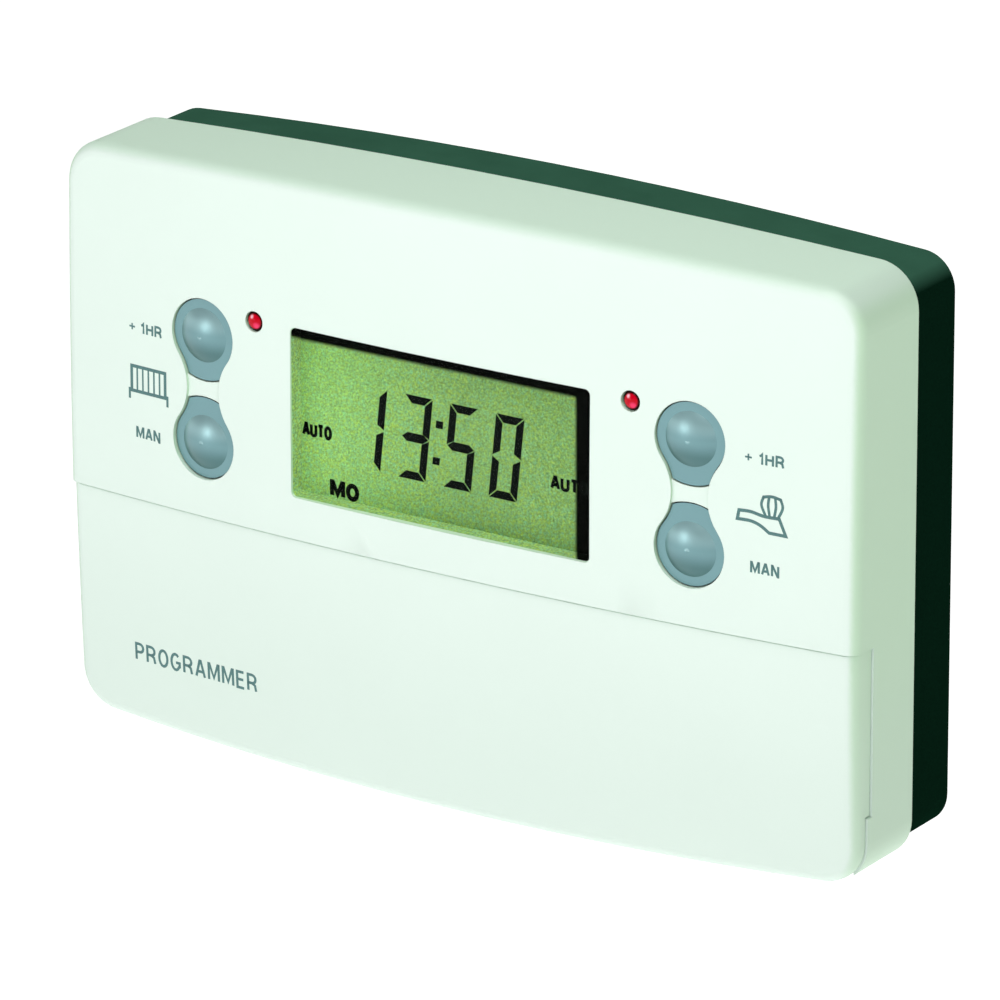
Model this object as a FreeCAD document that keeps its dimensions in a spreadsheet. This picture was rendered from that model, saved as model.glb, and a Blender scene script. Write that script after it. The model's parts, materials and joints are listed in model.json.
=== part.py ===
"""Two-channel heating and hot-water programmer: a wall plate with wiring terminals, and a plug-in
module with a liquid-crystal display, four front keys and a drop-down flap over eight more keys.

Frame: the wall is the plane y = 0 and the front faces -Y. "Depth" is the distance from the wall,
so depth = -y. The origin is midway between the two wall screws. Millimetres throughout."""
import FreeCAD, Part
import math
import os
import re
import Sketcher

Vector = FreeCAD.Vector
Rotation = FreeCAD.Rotation
FORWARD = Rotation(Vector(1, 0, 0), 90)      # turns a local +Z into -Y, away from the wall

doc = FreeCAD.newDocument("Programmer")

# ---------------------------------------------------------------- driving dimensions
SIZES = {
    # outer case
    "case_width": 135.0, "side_height": 87.6, "top_bow": 1.55, "bottom_bow": 1.93,
    "corner_radius": 6.5, "edge_round": 2.0, "edge_depth": 26.05, "crown_across": 3.36,
    "crown_up": 0.84, "wall_thick": 2.2, "split_depth": 11.1, "part_gap": 0.2, "overrun": 1.0,
    # rear housing
    "rear_width": 133.6, "rear_height": 84.6, "rear_bow": 2.35, "rear_corner": 5.2,
    "rear_wall": 2.0, "rear_start": 0.2, "partition_thick": 1.5, "lip_height": 1.4,
    "lip_thick": 1.3, "lip_gap": 0.15, "bay_half_width": 46.0, "bay_top": -9.5,
    "bay_bottom": -34.5, "bay_back": 3.2, "peg_radius": 1.5, "peg_gap": 0.15,
    "peg_across": 44.0, "peg_up": 34.0, "peg_end": 3.5, "peg_sleeve_wall": 1.4,
    # wall plate
    "plate_width": 108.0, "plate_height": 77.8, "plate_thick": 2.2, "plate_corner": 4.0,
    "fixing_spacing": 60.3, "slot_radius": 2.25, "slot_length": 8.0, "entry_width": 40.0,
    "entry_top": 10.5, "entry_bottom": -7.0, "flange_depth": 8.4, "flange_width": 90.0,
    "flange_thick": 2.5, "rib_thick": 1.6, "screw_across": 35.0, "screw_depth": 5.4,
    "screw_radius": 1.75, "screw_head_radius": 3.2, "screw_head_height": 2.1,
    "screw_slot": 0.8, "tab_width": 13.0, "tab_thick": 2.0, "tab_gap": 0.3,
    "slot_clearance": 0.45,
    # terminals
    "way_count": 7, "way_pitch": 9.5, "block_bottom": 13.5, "block_top": 27.5,
    "block_front": 9.0, "clamp_width": 6.4, "clamp_bottom": 16.6, "clamp_top": 24.4,
    "clamp_back": 2.95, "clamp_front": 7.9, "wire_half": 1.6, "wire_depth": 4.9,
    "terminal_screw_radius": 1.5, "terminal_head_radius": 2.1, "terminal_screw_up": 20.5,
    "strip_width": 3.6, "strip_thick": 0.6, "blade_up": 32.0, "blade_height": 4.0,
    "blade_thick": 0.8, "blade_gap": 0.4, "leaf_thick": 0.4, "leaf_gap": 0.06,
    "leaf_front": 8.6,
    # flap
    "seam_up": -8.4, "flap_split": 22.1, "flap_low_split": 23.2, "flap_step_up": -33.6,
    "flap_inset": 0.3, "flap_lean": 0.8, "flap_wall": 2.0, "hinge_depth": 22.6,
    "hinge_up": -42.9, "barrel_radius": 2.75, "barrel_half": 64.3, "pin_radius": 0.8,
    "pin_gap": 0.06, "lug_radius": 1.5, "lug_across": 53.5, "lug_thick": 3.0,
    "notch_reach": 2.4,
    "gutter_top": -39.6, "gutter_back": 19.2, "gutter_wall": 2.0,
    "fascia_front": 21.9, "fascia_thick": 1.6, "shelf_thick": 2.0,
    # display
    "window_width": 51.0, "window_top": 23.6, "window_bottom": -2.0, "window_corner": 0.9,
    "lens_front": 29.45, "lens_flange_front": 27.1, "lens_back": 26.5, "lens_width": 56.0,
    "glass_height": 31.4, "glass_thick": 0.72, "rear_glass_height": 27.2,
    "reflector_thick": 0.2, "frame_wall": 1.0, "glass_ledge": 0.5, "zebra_thick": 1.6,
    "zebra_length": 50.0,
    # front keys and lamps
    "key_across": 41.5, "key_up": 11.0, "key_half_pitch": 8.1, "key_face": 28.9,
    "key_tilt": 3.5, "key_radius": 5.4, "key_waist": 2.68, "key_neck": 6.15,
    "key_neck_end": 6.75, "key_gap": 0.2, "key_sink": 0.5, "bridge_sink": 0.4,
    "key_dome_radius": 4.05, "key_dome_height": 1.1, "key_collar_radius": 6.5,
    "key_collar_thick": 0.8, "key_stem_radius": 2.0, "key_stem_end": 4.25,
    "switch_size": 6.2, "switch_height": 3.5, "plunger_radius": 1.7, "plunger_gap": 0.08,
    "plunger_top": 24.4, "lamp_across": 32.0, "lamp_up": 23.1, "lamp_radius": 1.45,
    "lamp_front": 29.45, "lamp_length": 5.65, "lamp_gap": 0.1, "nose_height": 0.7,
    "lamp_rim": 1.0, "spacer_radius": 2.4,
    # keys behind the flap
    "small_key_count": 7, "small_key_pitch": 14.0, "small_key_start": -49.0,
    "small_key_up": -24.0, "small_key_radius": 3.5, "small_key_front": 22.8,
    "small_collar_radius": 4.2, "small_collar_thick": 0.64, "reset_radius": 1.2,
    "reset_collar_radius": 2.16, "small_key_gap": 0.2,
    "small_stem_radius": 1.2, "small_stem_back": 18.95, "small_switch_size": 4.5,
    "small_switch_height": 0.8,
    # boards
    "power_board_back": 12.3, "board_thick": 1.6, "power_board_half": 55.4,
    "power_board_bottom": -37.0, "power_board_top": 36.5, "control_board_back": 16.2,
    "control_board_half": 54.5, "control_board_bottom": -36.0, "control_board_top": 37.5,
    "board_hole_radius": 1.6, "small_screw_radius": 1.2, "small_head_radius": 2.3,
    "small_head_height": 1.4, "case_screw_across": 59.5, "case_screw_up": 36.0,
    "case_screw_radius": 1.4, "case_head_radius": 2.8, "case_head_height": 1.8,
    "boss_radius": 3.1, "small_boss_radius": 2.4, "board_screw_across": 49.0,
    "board_screw_top": 33.0, "board_screw_bottom": -32.0, "power_screw_across": 51.4,
    "power_screw_top": 26.0, "power_screw_bottom": -24.0,
    # components behind the power board, in the bay; reach is how far they stand off the board
    "relay_across": -31.0, "relay_up": -22.0, "relay_half_pitch": 6.2, "relay_width": 28.0,
    "relay_height": 11.0, "relay_reach": 7.0, "film_across": -3.0, "film_up": -16.5,
    "film_width": 18.0, "film_height": 12.0, "film_reach": 6.5, "varistor_across": -7.0,
    "varistor_up": -29.0, "varistor_radius": 4.8, "varistor_reach": 4.0, "cell_across": 16.5,
    "cell_up": -25.5, "cell_radius": 7.75, "cell_reach": 6.1, "can_start": 28.0,
    "can_end": 40.0, "can_up": -14.5, "can_radius": 3.15, "resistor_start": 28.0,
    "resistor_end": 42.0, "resistor_up": -23.0, "resistor_radius": 2.25, "lead_gap": 0.05,
    # components on the control board
    "link_up": -32.5, "link_width": 26.0, "link_height": 2.6, "chip_size": 10.0,
    "chip_height": 1.2, "crystal_across": 14.0, "crystal_width": 8.0, "crystal_height": 3.0,
    "crystal_rise": 2.4,
    # selector
    "selector_across": 44.0, "selector_up": 16.0, "selector_travel": 3.0,
    "selector_width": 9.0, "selector_height": 4.6, "selector_reach": 2.2,
    "selector_gap": 0.4, "track_width": 6.0, "track_height": 2.2, "track_depth": 1.2,
    "slider_width": 2.4, "slider_height": 1.9, "slider_reach": 3.6,
}

sheet = doc.addObject("Spreadsheet::Sheet", "Sizes")
for row, (alias, size) in enumerate(SIZES.items(), start=1):
    sheet.set(f"A{row}", alias)
    sheet.set(f"B{row}", str(size))
    sheet.setAlias(f"B{row}", alias)
doc.recompute()


# ---------------------------------------------------------------- small helpers
def cell(text):
    """Turns a formula written with bare aliases into one that reads the sheet."""
    return re.sub(r"[a-z_]+", lambda word: f"Sizes.{word[0]}" if word[0] in SIZES else word[0],
                  str(text))


def number(text):
    """Present value of a formula, used to lay out a sketch before it is constrained."""
    return float(sheet.evalExpression(cell(text)))


def bind(thing, target, text):
    thing.setExpression(target, cell(text))


def put(thing, x=0, depth=0, up=0):
    """Binds a placement: x across, depth from the wall, up along +Z."""
    bind(thing, "Placement.Base.x", x)
    bind(thing, "Placement.Base.y", f"-( {depth} )")
    bind(thing, "Placement.Base.z", up)
    return thing


def box(name, x0, x1, back, front, z0, z1):
    """Block between two x values, two depths and two heights."""
    made = doc.addObject("Part::Box", name)
    bind(made, "Length", f"( {x1} ) - ( {x0} )")
    bind(made, "Width", f"( {front} ) - ( {back} )")
    bind(made, "Height", f"( {z1} ) - ( {z0} )")
    return put(made, x0, front, z0)


def plate(name, x, up, width, height, back, front):
    """Block centred on (x, up)."""
    return box(name, f"( {x} ) - ( {width} ) / 2", f"( {x} ) + ( {width} ) / 2", back, front,
               f"( {up} ) - ( {height} ) / 2", f"( {up} ) + ( {height} ) / 2")


def rod(name, x, up, radius, back, front):
    """Cylinder whose axis runs along the depth."""
    made = doc.addObject("Part::Cylinder", name)
    made.Placement = FreeCAD.Placement(Vector(), FORWARD)
    bind(made, "Radius", radius)
    bind(made, "Height", f"( {front} ) - ( {back} )")
    return put(made, x, back, up)


def upright_rod(name, x, depth, radius, z0, z1):
    """Cylinder whose axis runs along Z."""
    made = doc.addObject("Part::Cylinder", name)
    bind(made, "Radius", radius)
    bind(made, "Height", f"( {z1} ) - ( {z0} )")
    return put(made, x, depth, z0)


def cross_rod(name, x0, x1, depth, up, radius):
    """Cylinder whose axis runs along X."""
    made = doc.addObject("Part::Cylinder", name)
    made.Placement = FreeCAD.Placement(Vector(), Rotation(Vector(0, 1, 0), 90))
    bind(made, "Radius", radius)
    bind(made, "Height", f"( {x1} ) - ( {x0} )")
    return put(made, x0, depth, up)


def fuse(name, *pieces):
    made = doc.addObject("Part::MultiFuse", name)
    made.Shapes = list(pieces)
    return made


def common(name, *pieces):
    made = doc.addObject("Part::MultiCommon", name)
    made.Shapes = list(pieces)
    return made


def cut(name, base, *tools):
    made = doc.addObject("Part::Cut", name)
    made.Base = base
    made.Tool = tools[0] if len(tools) == 1 else fuse(f"{name}_tools", *tools)
    return made


def group(name, pieces):
    """Several separate solids that are kept as one sub-part."""
    made = doc.addObject("Part::Compound", name)
    made.Links = list(pieces)
    return made


def both_sides(make):
    """Calls make(tag, sign) for the left and the right of the case."""
    return [make("left", "-1"), make("right", "1")]


# ---------------------------------------------------------------- sketches and bodies
def attach(body, name, role, shift=0, axis="z"):
    """Sketch on one of the body's own origin planes, moved along one of its own axes."""
    sketch = body.newObject("Sketcher::SketchObject", name)
    planes = {item.Role: item for item in body.Origin.OriginFeatures}
    sketch.AttachmentSupport = [(planes[role], "")]
    sketch.MapMode = "FlatFace"
    bind(sketch, f"AttachmentOffset.Base.{axis}", shift)
    return sketch


def pin_value(sketch, constraint, text):
    index = sketch.addConstraint(constraint)
    bind(sketch, f"Constraints[{index}]", text)


def arc_between(start, end, radius, side):
    """Arc shorter than half a turn; side +1 puts its centre left of the way from start to end."""
    chord = end - start
    rise = math.sqrt(max(radius ** 2 - (chord.Length / 2) ** 2, 0))
    left = Vector(-chord.y, chord.x, 0).normalize()
    centre = (start + end) * 0.5 + left * rise * side
    first, last = (start, end) if side > 0 else (end, start)
    angles = [math.atan2(point.y - centre.y, point.x - centre.x) for point in (first, last)]
    return Part.ArcOfCircle(Part.Circle(centre, Vector(0, 0, 1), radius), *angles)


def outline(sketch, corners, bends=None):
    """Closed outline through corners given as pairs of formulas. bends maps the number of an edge,
    counted from the corner where it starts, to (radius formula, side)."""
    bends = bends or {}
    points = [Vector(number(x), number(y), 0) for x, y in corners]
    ends = []
    for index, start in enumerate(points):
        end = points[(index + 1) % len(points)]
        if index in bends:
            radius, side = bends[index]
            edge = sketch.addGeometry(arc_between(start, end, number(radius), side), False)
            pin_value(sketch, Sketcher.Constraint("Radius", edge, number(radius)), radius)
            ends.append((edge, 1, 2) if side > 0 else (edge, 2, 1))
        else:
            edge = sketch.addGeometry(Part.LineSegment(start, end), False)
            ends.append((edge, 1, 2))
    for index, (edge, _, last) in enumerate(ends):
        following = ends[(index + 1) % len(ends)]
        sketch.addConstraint(Sketcher.Constraint("Coincident", edge, last, *following[:2]))
    for (edge, first, _), (x, y), point in zip(ends, corners, points):
        for kind, axis, text, value in (("DistanceX", -2, x, point.x), ("DistanceY", -1, y, point.y)):
            if abs(value) < 1e-9:
                sketch.addConstraint(Sketcher.Constraint("PointOnObject", edge, first, axis))
            else:
                pin_value(sketch, Sketcher.Constraint(kind, -1, 1, edge, first, value), text)


def pad(body, name, sketch, length):
    made = body.newObject("PartDesign::Pad", name)
    made.Profile = sketch
    bind(made, "Length", length)
    return made


def spin(body, kind, name, sketch, angle):
    """Revolution or groove about the sketch's own horizontal or vertical axis."""
    made = body.newObject(f"PartDesign::{kind}", name)
    made.Profile = sketch
    made.ReferenceAxis = (sketch, ["V_Axis" if kind == "Revolution" else "H_Axis"])
    made.Angle = angle
    made.Midplane = angle < 360
    return made


def round_edges(body, name, radius, wanted):
    """Fillet on every edge of the present shape that the test accepts."""
    doc.recompute()
    tip = body.Tip
    names = [f"Edge{n}" for n, edge in enumerate(tip.Shape.Edges, start=1) if wanted(edge)]
    made = body.newObject("PartDesign::Fillet", name)
    made.Base = (tip, names)
    bind(made, "Radius", radius)
    return made


def along_depth(edge):
    """True for a straight edge that runs along Y."""
    first, last = edge.Vertexes[0].Point, edge.Vertexes[-1].Point
    return abs(first.y - last.y) > 1 and abs(first.x - last.x) + abs(first.z - last.z) < 1e-3


def bow_radius(bow, width):
    return f"( ( {width} / 2 ) ^ 2 + {bow} ^ 2 ) / ( 2 * {bow} )"


def bowed_block(name, width, height, bows, corner, back, front, inset=0):
    """Block seen from the front as upright sides with a bowed top and bottom edge."""
    body = doc.addObject("PartDesign::Body", name)
    sketch = attach(body, f"{name}_outline", "XZ_Plane", back)
    side = f"{width} / 2 - ( {inset} )"
    top = f"{height} / 2 - ( {inset} )"
    corners = [(side, f"-( {top} )"), (side, top), (f"-( {side} )", top),
               (f"-( {side} )", f"-( {top} )")]
    bends = {1: (bow_radius(bows[0], width), 1), 3: (bow_radius(bows[1], width), 1)}
    outline(sketch, corners, bends)
    pad(body, f"{name}_pad", sketch, f"( {front} ) - ( {back} )")
    round_edges(body, f"{name}_corners", f"{corner} - ( {inset} )", along_depth)
    return body


CROWN_REACH = 80       # half the length of the arc that crowns the front, past the case's sides
CROWN_CUT = 12         # material that the crowning cut takes off at the middle
CROWN_TURN = 8         # degrees turned by the crowning cut, past the case's top and bottom


def crowned_block(name, inset, drop, back, rounded):
    """Block with the case's outline and a front that is crowned across and, slightly, upwards."""
    front = "edge_depth + crown_across + crown_up"
    body = bowed_block(name, "case_width", "side_height", ("top_bow", "bottom_bow"),
                       "corner_radius", back, f"{front} + 2 * overrun", inset)
    across = bow_radius("crown_across", "case_width")
    upward = bow_radius("crown_up", "side_height")
    sketch = attach(body, f"{name}_crown", "XY_Plane", f"{upward} - ( {front} - ( {drop} ) )",
                    "y")
    ends = f"{across} - sqrt( ( {across} ) ^ 2 - {CROWN_REACH} ^ 2 ) - ( {upward} )"
    corners = [(-CROWN_REACH, ends), (CROWN_REACH, ends),
               (CROWN_REACH, f"-( {upward} ) - {CROWN_CUT}"),
               (-CROWN_REACH, f"-( {upward} ) - {CROWN_CUT}")]
    outline(sketch, corners, {0: (across, 1)})
    spin(body, "Groove", f"{name}_crowning", sketch, CROWN_TURN)
    if rounded:
        near_front = -SIZES["edge_depth"] + SIZES["crown_across"]
        round_edges(body, f"{name}_front_round", "edge_round",
                    lambda edge: edge.BoundBox.YMax < near_front)
    return body


def upright_block(name, x0, x1, z0, z1, back, front, corner):
    """Block with its four depth-wise edges rounded."""
    body = doc.addObject("PartDesign::Body", name)
    sketch = attach(body, f"{name}_outline", "XZ_Plane", back)
    outline(sketch, [(x1, z0), (x1, z1), (x0, z1), (x0, z0)])
    pad(body, f"{name}_pad", sketch, f"( {front} ) - ( {back} )")
    round_edges(body, f"{name}_corners", corner, along_depth)
    return body


def disc(body, name, radius, back, front):
    """Round pad about the body's own depth axis."""
    sketch = attach(body, f"{name}_outline", "XZ_Plane", back)
    edge = sketch.addGeometry(Part.Circle(Vector(), Vector(0, 0, 1), number(radius)), False)
    sketch.addConstraint(Sketcher.Constraint("Coincident", edge, 3, -1, 1))
    pin_value(sketch, Sketcher.Constraint("Radius", edge, number(radius)), radius)
    return pad(body, name, sketch, f"( {front} ) - ( {back} )")


# ---------------------------------------------------------------- depths that several parts share
FAR = 60                                             # past the case in any direction
PARTITION_BACK = "split_depth - partition_thick"
FASCIA_BACK = "fascia_front - fascia_thick"
POWER_FRONT = "power_board_back + board_thick"
CONTROL_FRONT = "control_board_back + board_thick"
INNER_HALF = "case_width / 2 - wall_thick"
WINDOW_UP = "( window_top + window_bottom ) / 2"
KEY_NAMES = {("left", "upper"): "heating_boost", ("left", "lower"): "heating_manual",
             ("right", "upper"): "water_boost", ("right", "lower"): "water_manual"}
SIDES = {"left": -1, "right": 1}
LEVELS = {"upper": 1, "lower": -1}
CORNERS = [(across, up) for across in (-1, 1) for up in (-1, 1)]
parts = {}


# ---------------------------------------------------------------- outline of a front key
def key_terms(grow):
    """Formulas of the keyhole outline, grown outwards by a clearance."""
    radius, waist = f"( key_radius + {grow} )", f"( key_waist + {grow} )"
    neck = f"( ( key_half_pitch ^ 2 + {waist} ^ 2 - {radius} ^ 2 ) / ( 2 * ( {radius} - {waist} ) ) )"
    share = f"( {radius} / ( {radius} + {neck} ) )"
    touch = (f"( {waist} + {neck} ) * {share}", f"key_half_pitch * {share}")
    return radius, waist, neck, touch


def key_outline(sketch, grow):
    """One round key with a short neck below it that ends in a shallow arc."""
    radius, waist, neck, (touch_x, touch_down) = key_terms(grow)
    down = f"( key_neck + {grow} )"
    half = f"( {waist} + {neck} - sqrt( {neck} ^ 2 - ( key_half_pitch - {down} ) ^ 2 ) )"
    sag = "( key_neck_end - key_neck )"
    corners = [(half, f"-{down}"), (touch_x, f"-( {touch_down} )"), (0, radius),
               (f"-( {touch_x} )", f"-( {touch_down} )"), (f"-{half}", f"-{down}")]
    end_radius = f"( {half} ^ 2 + {sag} ^ 2 ) / ( 2 * {sag} )"
    outline(sketch, corners, {0: (neck, -1), 1: (radius, 1), 2: (radius, 1), 3: (neck, -1),
                              4: (end_radius, 1)})


def pair_outline(sketch, grow):
    """Hourglass that takes in both keys of a pair."""
    radius, _, neck, (touch_x, touch_down) = key_terms(grow)
    waist_up, tip_up = f"key_half_pitch - {touch_down}", f"key_half_pitch + {radius}"
    corners = [(touch_x, f"-( {waist_up} )"), (touch_x, waist_up), (0, tip_up),
               (f"-( {touch_x} )", waist_up), (f"-( {touch_x} )", f"-( {waist_up} )"),
               (0, f"-( {tip_up} )")]
    outline(sketch, corners, {0: (neck, -1), 1: (radius, 1), 2: (radius, 1), 3: (neck, -1),
                              4: (radius, 1), 5: (radius, 1)})


def key_place(piece, side, level):
    """Sets a piece square to the crowned front at one key of a pair, or between them (level 0)."""
    lean = Rotation(Vector(0, 0, 1), SIDES[side] * SIZES["key_tilt"])
    flip = Rotation(Vector(0, 1, 0), 180 if level < 0 else 0)
    piece.Placement = FreeCAD.Placement(Vector(), lean * flip)
    return put(piece, f"{SIDES[side]} * key_across", "key_face",
               f"key_up + {level} * key_half_pitch")


def key_tool(name, side, level, draw, back):
    """Cutter for the cover, drawn square to its front."""
    body = doc.addObject("PartDesign::Body", name)
    sketch = attach(body, f"{name}_outline", "XZ_Plane", back)
    draw(sketch, "key_gap")
    pad(body, f"{name}_pad", sketch, f"wall_thick - ( {back} )")
    return key_place(body, side, level)


def front_key(name, side, level):
    """Domed key: collar behind the cover, flange through it, dome on top and a stem behind."""
    body = doc.addObject("PartDesign::Body", name)
    collar_front = "-( wall_thick + part_gap )"
    collar_back = f"{collar_front} - key_collar_thick"
    disc(body, f"{name}_collar", "key_collar_radius", collar_back, collar_front)
    sketch = attach(body, f"{name}_flange_outline", "XZ_Plane", collar_back)
    key_outline(sketch, "0")
    pad(body, f"{name}_flange", sketch, f"-key_sink - ( {collar_back} )")
    dome = attach(body, f"{name}_dome_outline", "XY_Plane")
    root = "key_sink + part_gap"
    outline(dome, [(0, "key_sink - key_dome_height"), ("key_dome_radius", "key_sink"),
                   ("key_dome_radius", root), (0, root)],
            {0: ("( key_dome_radius ^ 2 + key_dome_height ^ 2 ) / ( 2 * key_dome_height )", 1)})
    spin(body, "Revolution", f"{name}_dome", dome, 360)
    disc(body, f"{name}_stem", "key_stem_radius", "-key_stem_end", collar_back)
    return key_place(body, side, LEVELS[level])


# ---------------------------------------------------------------- front cover
def hinge_lug(tag, sign):
    """Arm that reaches forward from the foot of the cover and holds one flap pin."""
    x0, x1 = f"{sign} * lug_across - lug_thick / 2", f"{sign} * lug_across + lug_thick / 2"
    arm = box(f"lug_arm_{tag}", x0, x1, "gutter_back - gutter_wall / 2", "hinge_depth",
              "hinge_up - lug_radius", "hinge_up + lug_radius")
    eye = cross_rod(f"lug_eye_{tag}", x0, x1, "hinge_depth", "hinge_up", "lug_radius")
    bore = cross_rod(f"lug_bore_{tag}", f"{x0} - overrun", f"{x1} + overrun", "hinge_depth",
                     "hinge_up", "pin_radius + pin_gap")
    return cut(f"lug_{tag}", fuse(f"lug_solid_{tag}", arm, eye), bore)


def small_key_across(index):
    return f"small_key_start + {index} * small_key_pitch"


def front_cover():
    form = crowned_block("cover_form", 0, 0, "split_depth", True)
    hollow_form = crowned_block("hollow_form", "wall_thick", "wall_thick",
                                "split_depth - overrun", False)
    fascia_stop = box("fascia_stop", -FAR * 2, FAR * 2, FASCIA_BACK, FAR, -FAR,
                      "seam_up + shelf_thick")
    gutter_stop = box("gutter_stop", -FAR * 2, FAR * 2, "gutter_back - gutter_wall", FAR, -FAR,
                      "gutter_top + gutter_wall")
    hollow = cut("cover_hollow", hollow_form, fascia_stop, gutter_stop)
    flap_room = [
        box("flap_room", -FAR * 2, FAR * 2, "flap_split - part_gap / 2", FAR, "flap_step_up",
            "seam_up"),
        box("flap_room_low", -FAR * 2, FAR * 2, "flap_low_split - part_gap / 2", FAR, -FAR,
            "flap_step_up"),
        box("fascia_room", f"-( {INNER_HALF} )", INNER_HALF, "fascia_front", FAR, -FAR, "seam_up"),
        box("gutter", f"-( {INNER_HALF} )", INNER_HALF, "gutter_back", FAR, -FAR, "gutter_top"),
    ]
    shell = cut("cover_shell", form, hollow, *flap_room)

    bosses, bores = [], []
    for index, (across, up) in enumerate(CORNERS):
        x, z = f"{across} * case_screw_across", f"{up} * case_screw_up"
        reach = "edge_depth - part_gap" if up > 0 else "fascia_front - fascia_thick / 2"
        bosses.append(rod(f"case_boss_{index}", x, z, "boss_radius", "split_depth + part_gap", reach))
        bores.append(rod(f"case_bore_{index}", x, z, "case_screw_radius + pin_gap", "split_depth",
                         "fascia_front - fascia_thick * 1.5"))
        x = f"{across} * board_screw_across"
        z = "board_screw_top" if up > 0 else "board_screw_bottom"
        reach = "edge_depth + part_gap" if up > 0 else "fascia_front - fascia_thick / 2"
        bosses.append(rod(f"board_boss_{index}", x, z, "small_boss_radius", CONTROL_FRONT, reach))
        bores.append(rod(f"board_bore_{index}", x, z, "small_screw_radius + pin_gap",
                         f"{CONTROL_FRONT} - overrun", f"{FASCIA_BACK} + part_gap"))
    lugs = both_sides(hinge_lug)

    holes = [upright_block("window", "-window_width / 2", "window_width / 2", "window_bottom",
                           "window_top", FASCIA_BACK, FAR, "window_corner")]
    for side, sign in SIDES.items():
        holes.append(rod(f"lamp_hole_{side}", f"{sign} * lamp_across", "lamp_up",
                         "lamp_radius + lamp_gap", FASCIA_BACK, FAR))
        holes.append(key_tool(f"pair_recess_{side}", side, 0, pair_outline, "-bridge_sink"))
        for level, step in LEVELS.items():
            holes.append(key_tool(f"key_hole_{side}_{level}", side, step, key_outline,
                                  "-3 * wall_thick"))
    for index in range(int(SIZES["small_key_count"])):
        holes.append(rod(f"small_key_hole_{index}", small_key_across(index), "small_key_up",
                         "small_key_radius + small_key_gap", f"{FASCIA_BACK} - overrun", FAR))
    holes.append(rod("reset_hole", small_key_across("small_key_count"), "small_key_up",
                     "reset_radius + small_key_gap", f"{FASCIA_BACK} - overrun", FAR))
    return cut("front_cover", fuse("cover_with_bosses", shell, *bosses, *lugs), *bores, *holes)


# ---------------------------------------------------------------- drop-down flap
def leaned(piece):
    """Tips a form back from the seam, so that the foot of the flap lies nearer the wall."""
    pivot = Vector(0, -SIZES["edge_depth"], SIZES["seam_up"])
    piece.Placement = FreeCAD.Placement(Vector(), Rotation(Vector(1, 0, 0), SIZES["flap_lean"]), pivot)
    return piece


def flap_notch(tag, sign):
    """Room for one hinge lug."""
    middle, half = f"{sign} * lug_across", "( lug_thick / 2 + 2 * part_gap )"
    return box(f"flap_notch_{tag}", f"{middle} - {half}", f"{middle} + {half}", 0,
               "hinge_depth + notch_reach", -FAR, "hinge_up + barrel_radius + part_gap")


def flap_pin(tag, sign):
    middle, half = f"{sign} * lug_across", "( lug_thick / 2 + 3 * part_gap )"
    return cross_rod(f"flap_pin_{tag}", f"{middle} - {half}", f"{middle} + {half}", "hinge_depth",
                     "hinge_up", "pin_radius")


def flap():
    inset = "flap_inset + flap_wall"
    form = leaned(crowned_block("flap_form", "flap_inset", "flap_inset",
                                "gutter_back - overrun", True))
    hollow = leaned(crowned_block("flap_hollow", inset, inset, "gutter_back - 2 * overrun", False))
    zone = fuse("flap_zone",
                box("flap_zone_high", -FAR * 2, FAR * 2, "flap_split + part_gap / 2", FAR,
                    "flap_step_up + part_gap", "seam_up - part_gap"),
                box("flap_zone_low", -FAR * 2, FAR * 2, "flap_low_split + part_gap / 2", FAR, -FAR,
                    "flap_step_up + part_gap"))
    skin = common("flap_skin", cut("flap_shell", form, hollow), zone)
    bar = cross_rod("flap_bar", "-barrel_half", "barrel_half", "hinge_depth", "hinge_up",
                    "barrel_radius")
    foot = bowed_block("flap_foot", "case_width", "side_height", ("top_bow", "bottom_bow"),
                       "corner_radius", "gutter_back", "edge_depth - edge_round - 2 * part_gap",
                       "flap_inset")
    barrel = common("flap_barrel", bar, foot)
    notched = cut("flap_notched", fuse("flap_body", skin, barrel), *both_sides(flap_notch))
    return fuse("flap", notched, *both_sides(flap_pin))


parts["front_cover"] = front_cover()
parts["flap"] = flap()

for (side, level), name in KEY_NAMES.items():
    parts[f"{name}_key"] = front_key(f"{name}_key", side, level)


def small_key(name, index, radius, front, collar):
    """Round key behind the flap: cap through the fascia, collar behind it, stem to its switch."""
    x = small_key_across(index)
    collar_front = f"{FASCIA_BACK} - part_gap"
    collar_back = f"{collar_front} - small_collar_thick"
    return fuse(name,
                rod(f"{name}_cap", x, "small_key_up", radius, collar_back, front),
                rod(f"{name}_collar", x, "small_key_up", collar, collar_back, collar_front),
                rod(f"{name}_stem", x, "small_key_up", "small_stem_radius", "small_stem_back",
                    collar_back))


SMALL_KEYS = ["programme", "day", "copy", "minus", "plus", "next", "select"]
for index, word in enumerate(SMALL_KEYS):
    parts[f"{word}_key"] = small_key(f"{word}_key", index, "small_key_radius", "small_key_front",
                                     "small_collar_radius")
parts["reset_key"] = small_key("reset_key", len(SMALL_KEYS), "reset_radius",
                               "fascia_front - part_gap", "reset_collar_radius")


# ---------------------------------------------------------------- display
def display_plate(name, width, height, back, front):
    return plate(name, 0, WINDOW_UP, width, height, back, front)


FRONT_GLASS_BACK = "lens_back - glass_thick"
REAR_GLASS_BACK = "lens_back - 2 * glass_thick"


def display_lens():
    flange = display_plate("lens_flange", "lens_width", "glass_height", "lens_back",
                           "lens_flange_front")
    pane = upright_block("lens_pane", "-window_width / 2 + part_gap / 2",
                         "window_width / 2 - part_gap / 2", "window_bottom + part_gap / 2",
                         "window_top - part_gap / 2", "lens_back", "lens_front",
                         "window_corner - part_gap / 2")
    return fuse("display_lens", flange, pane)


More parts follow.
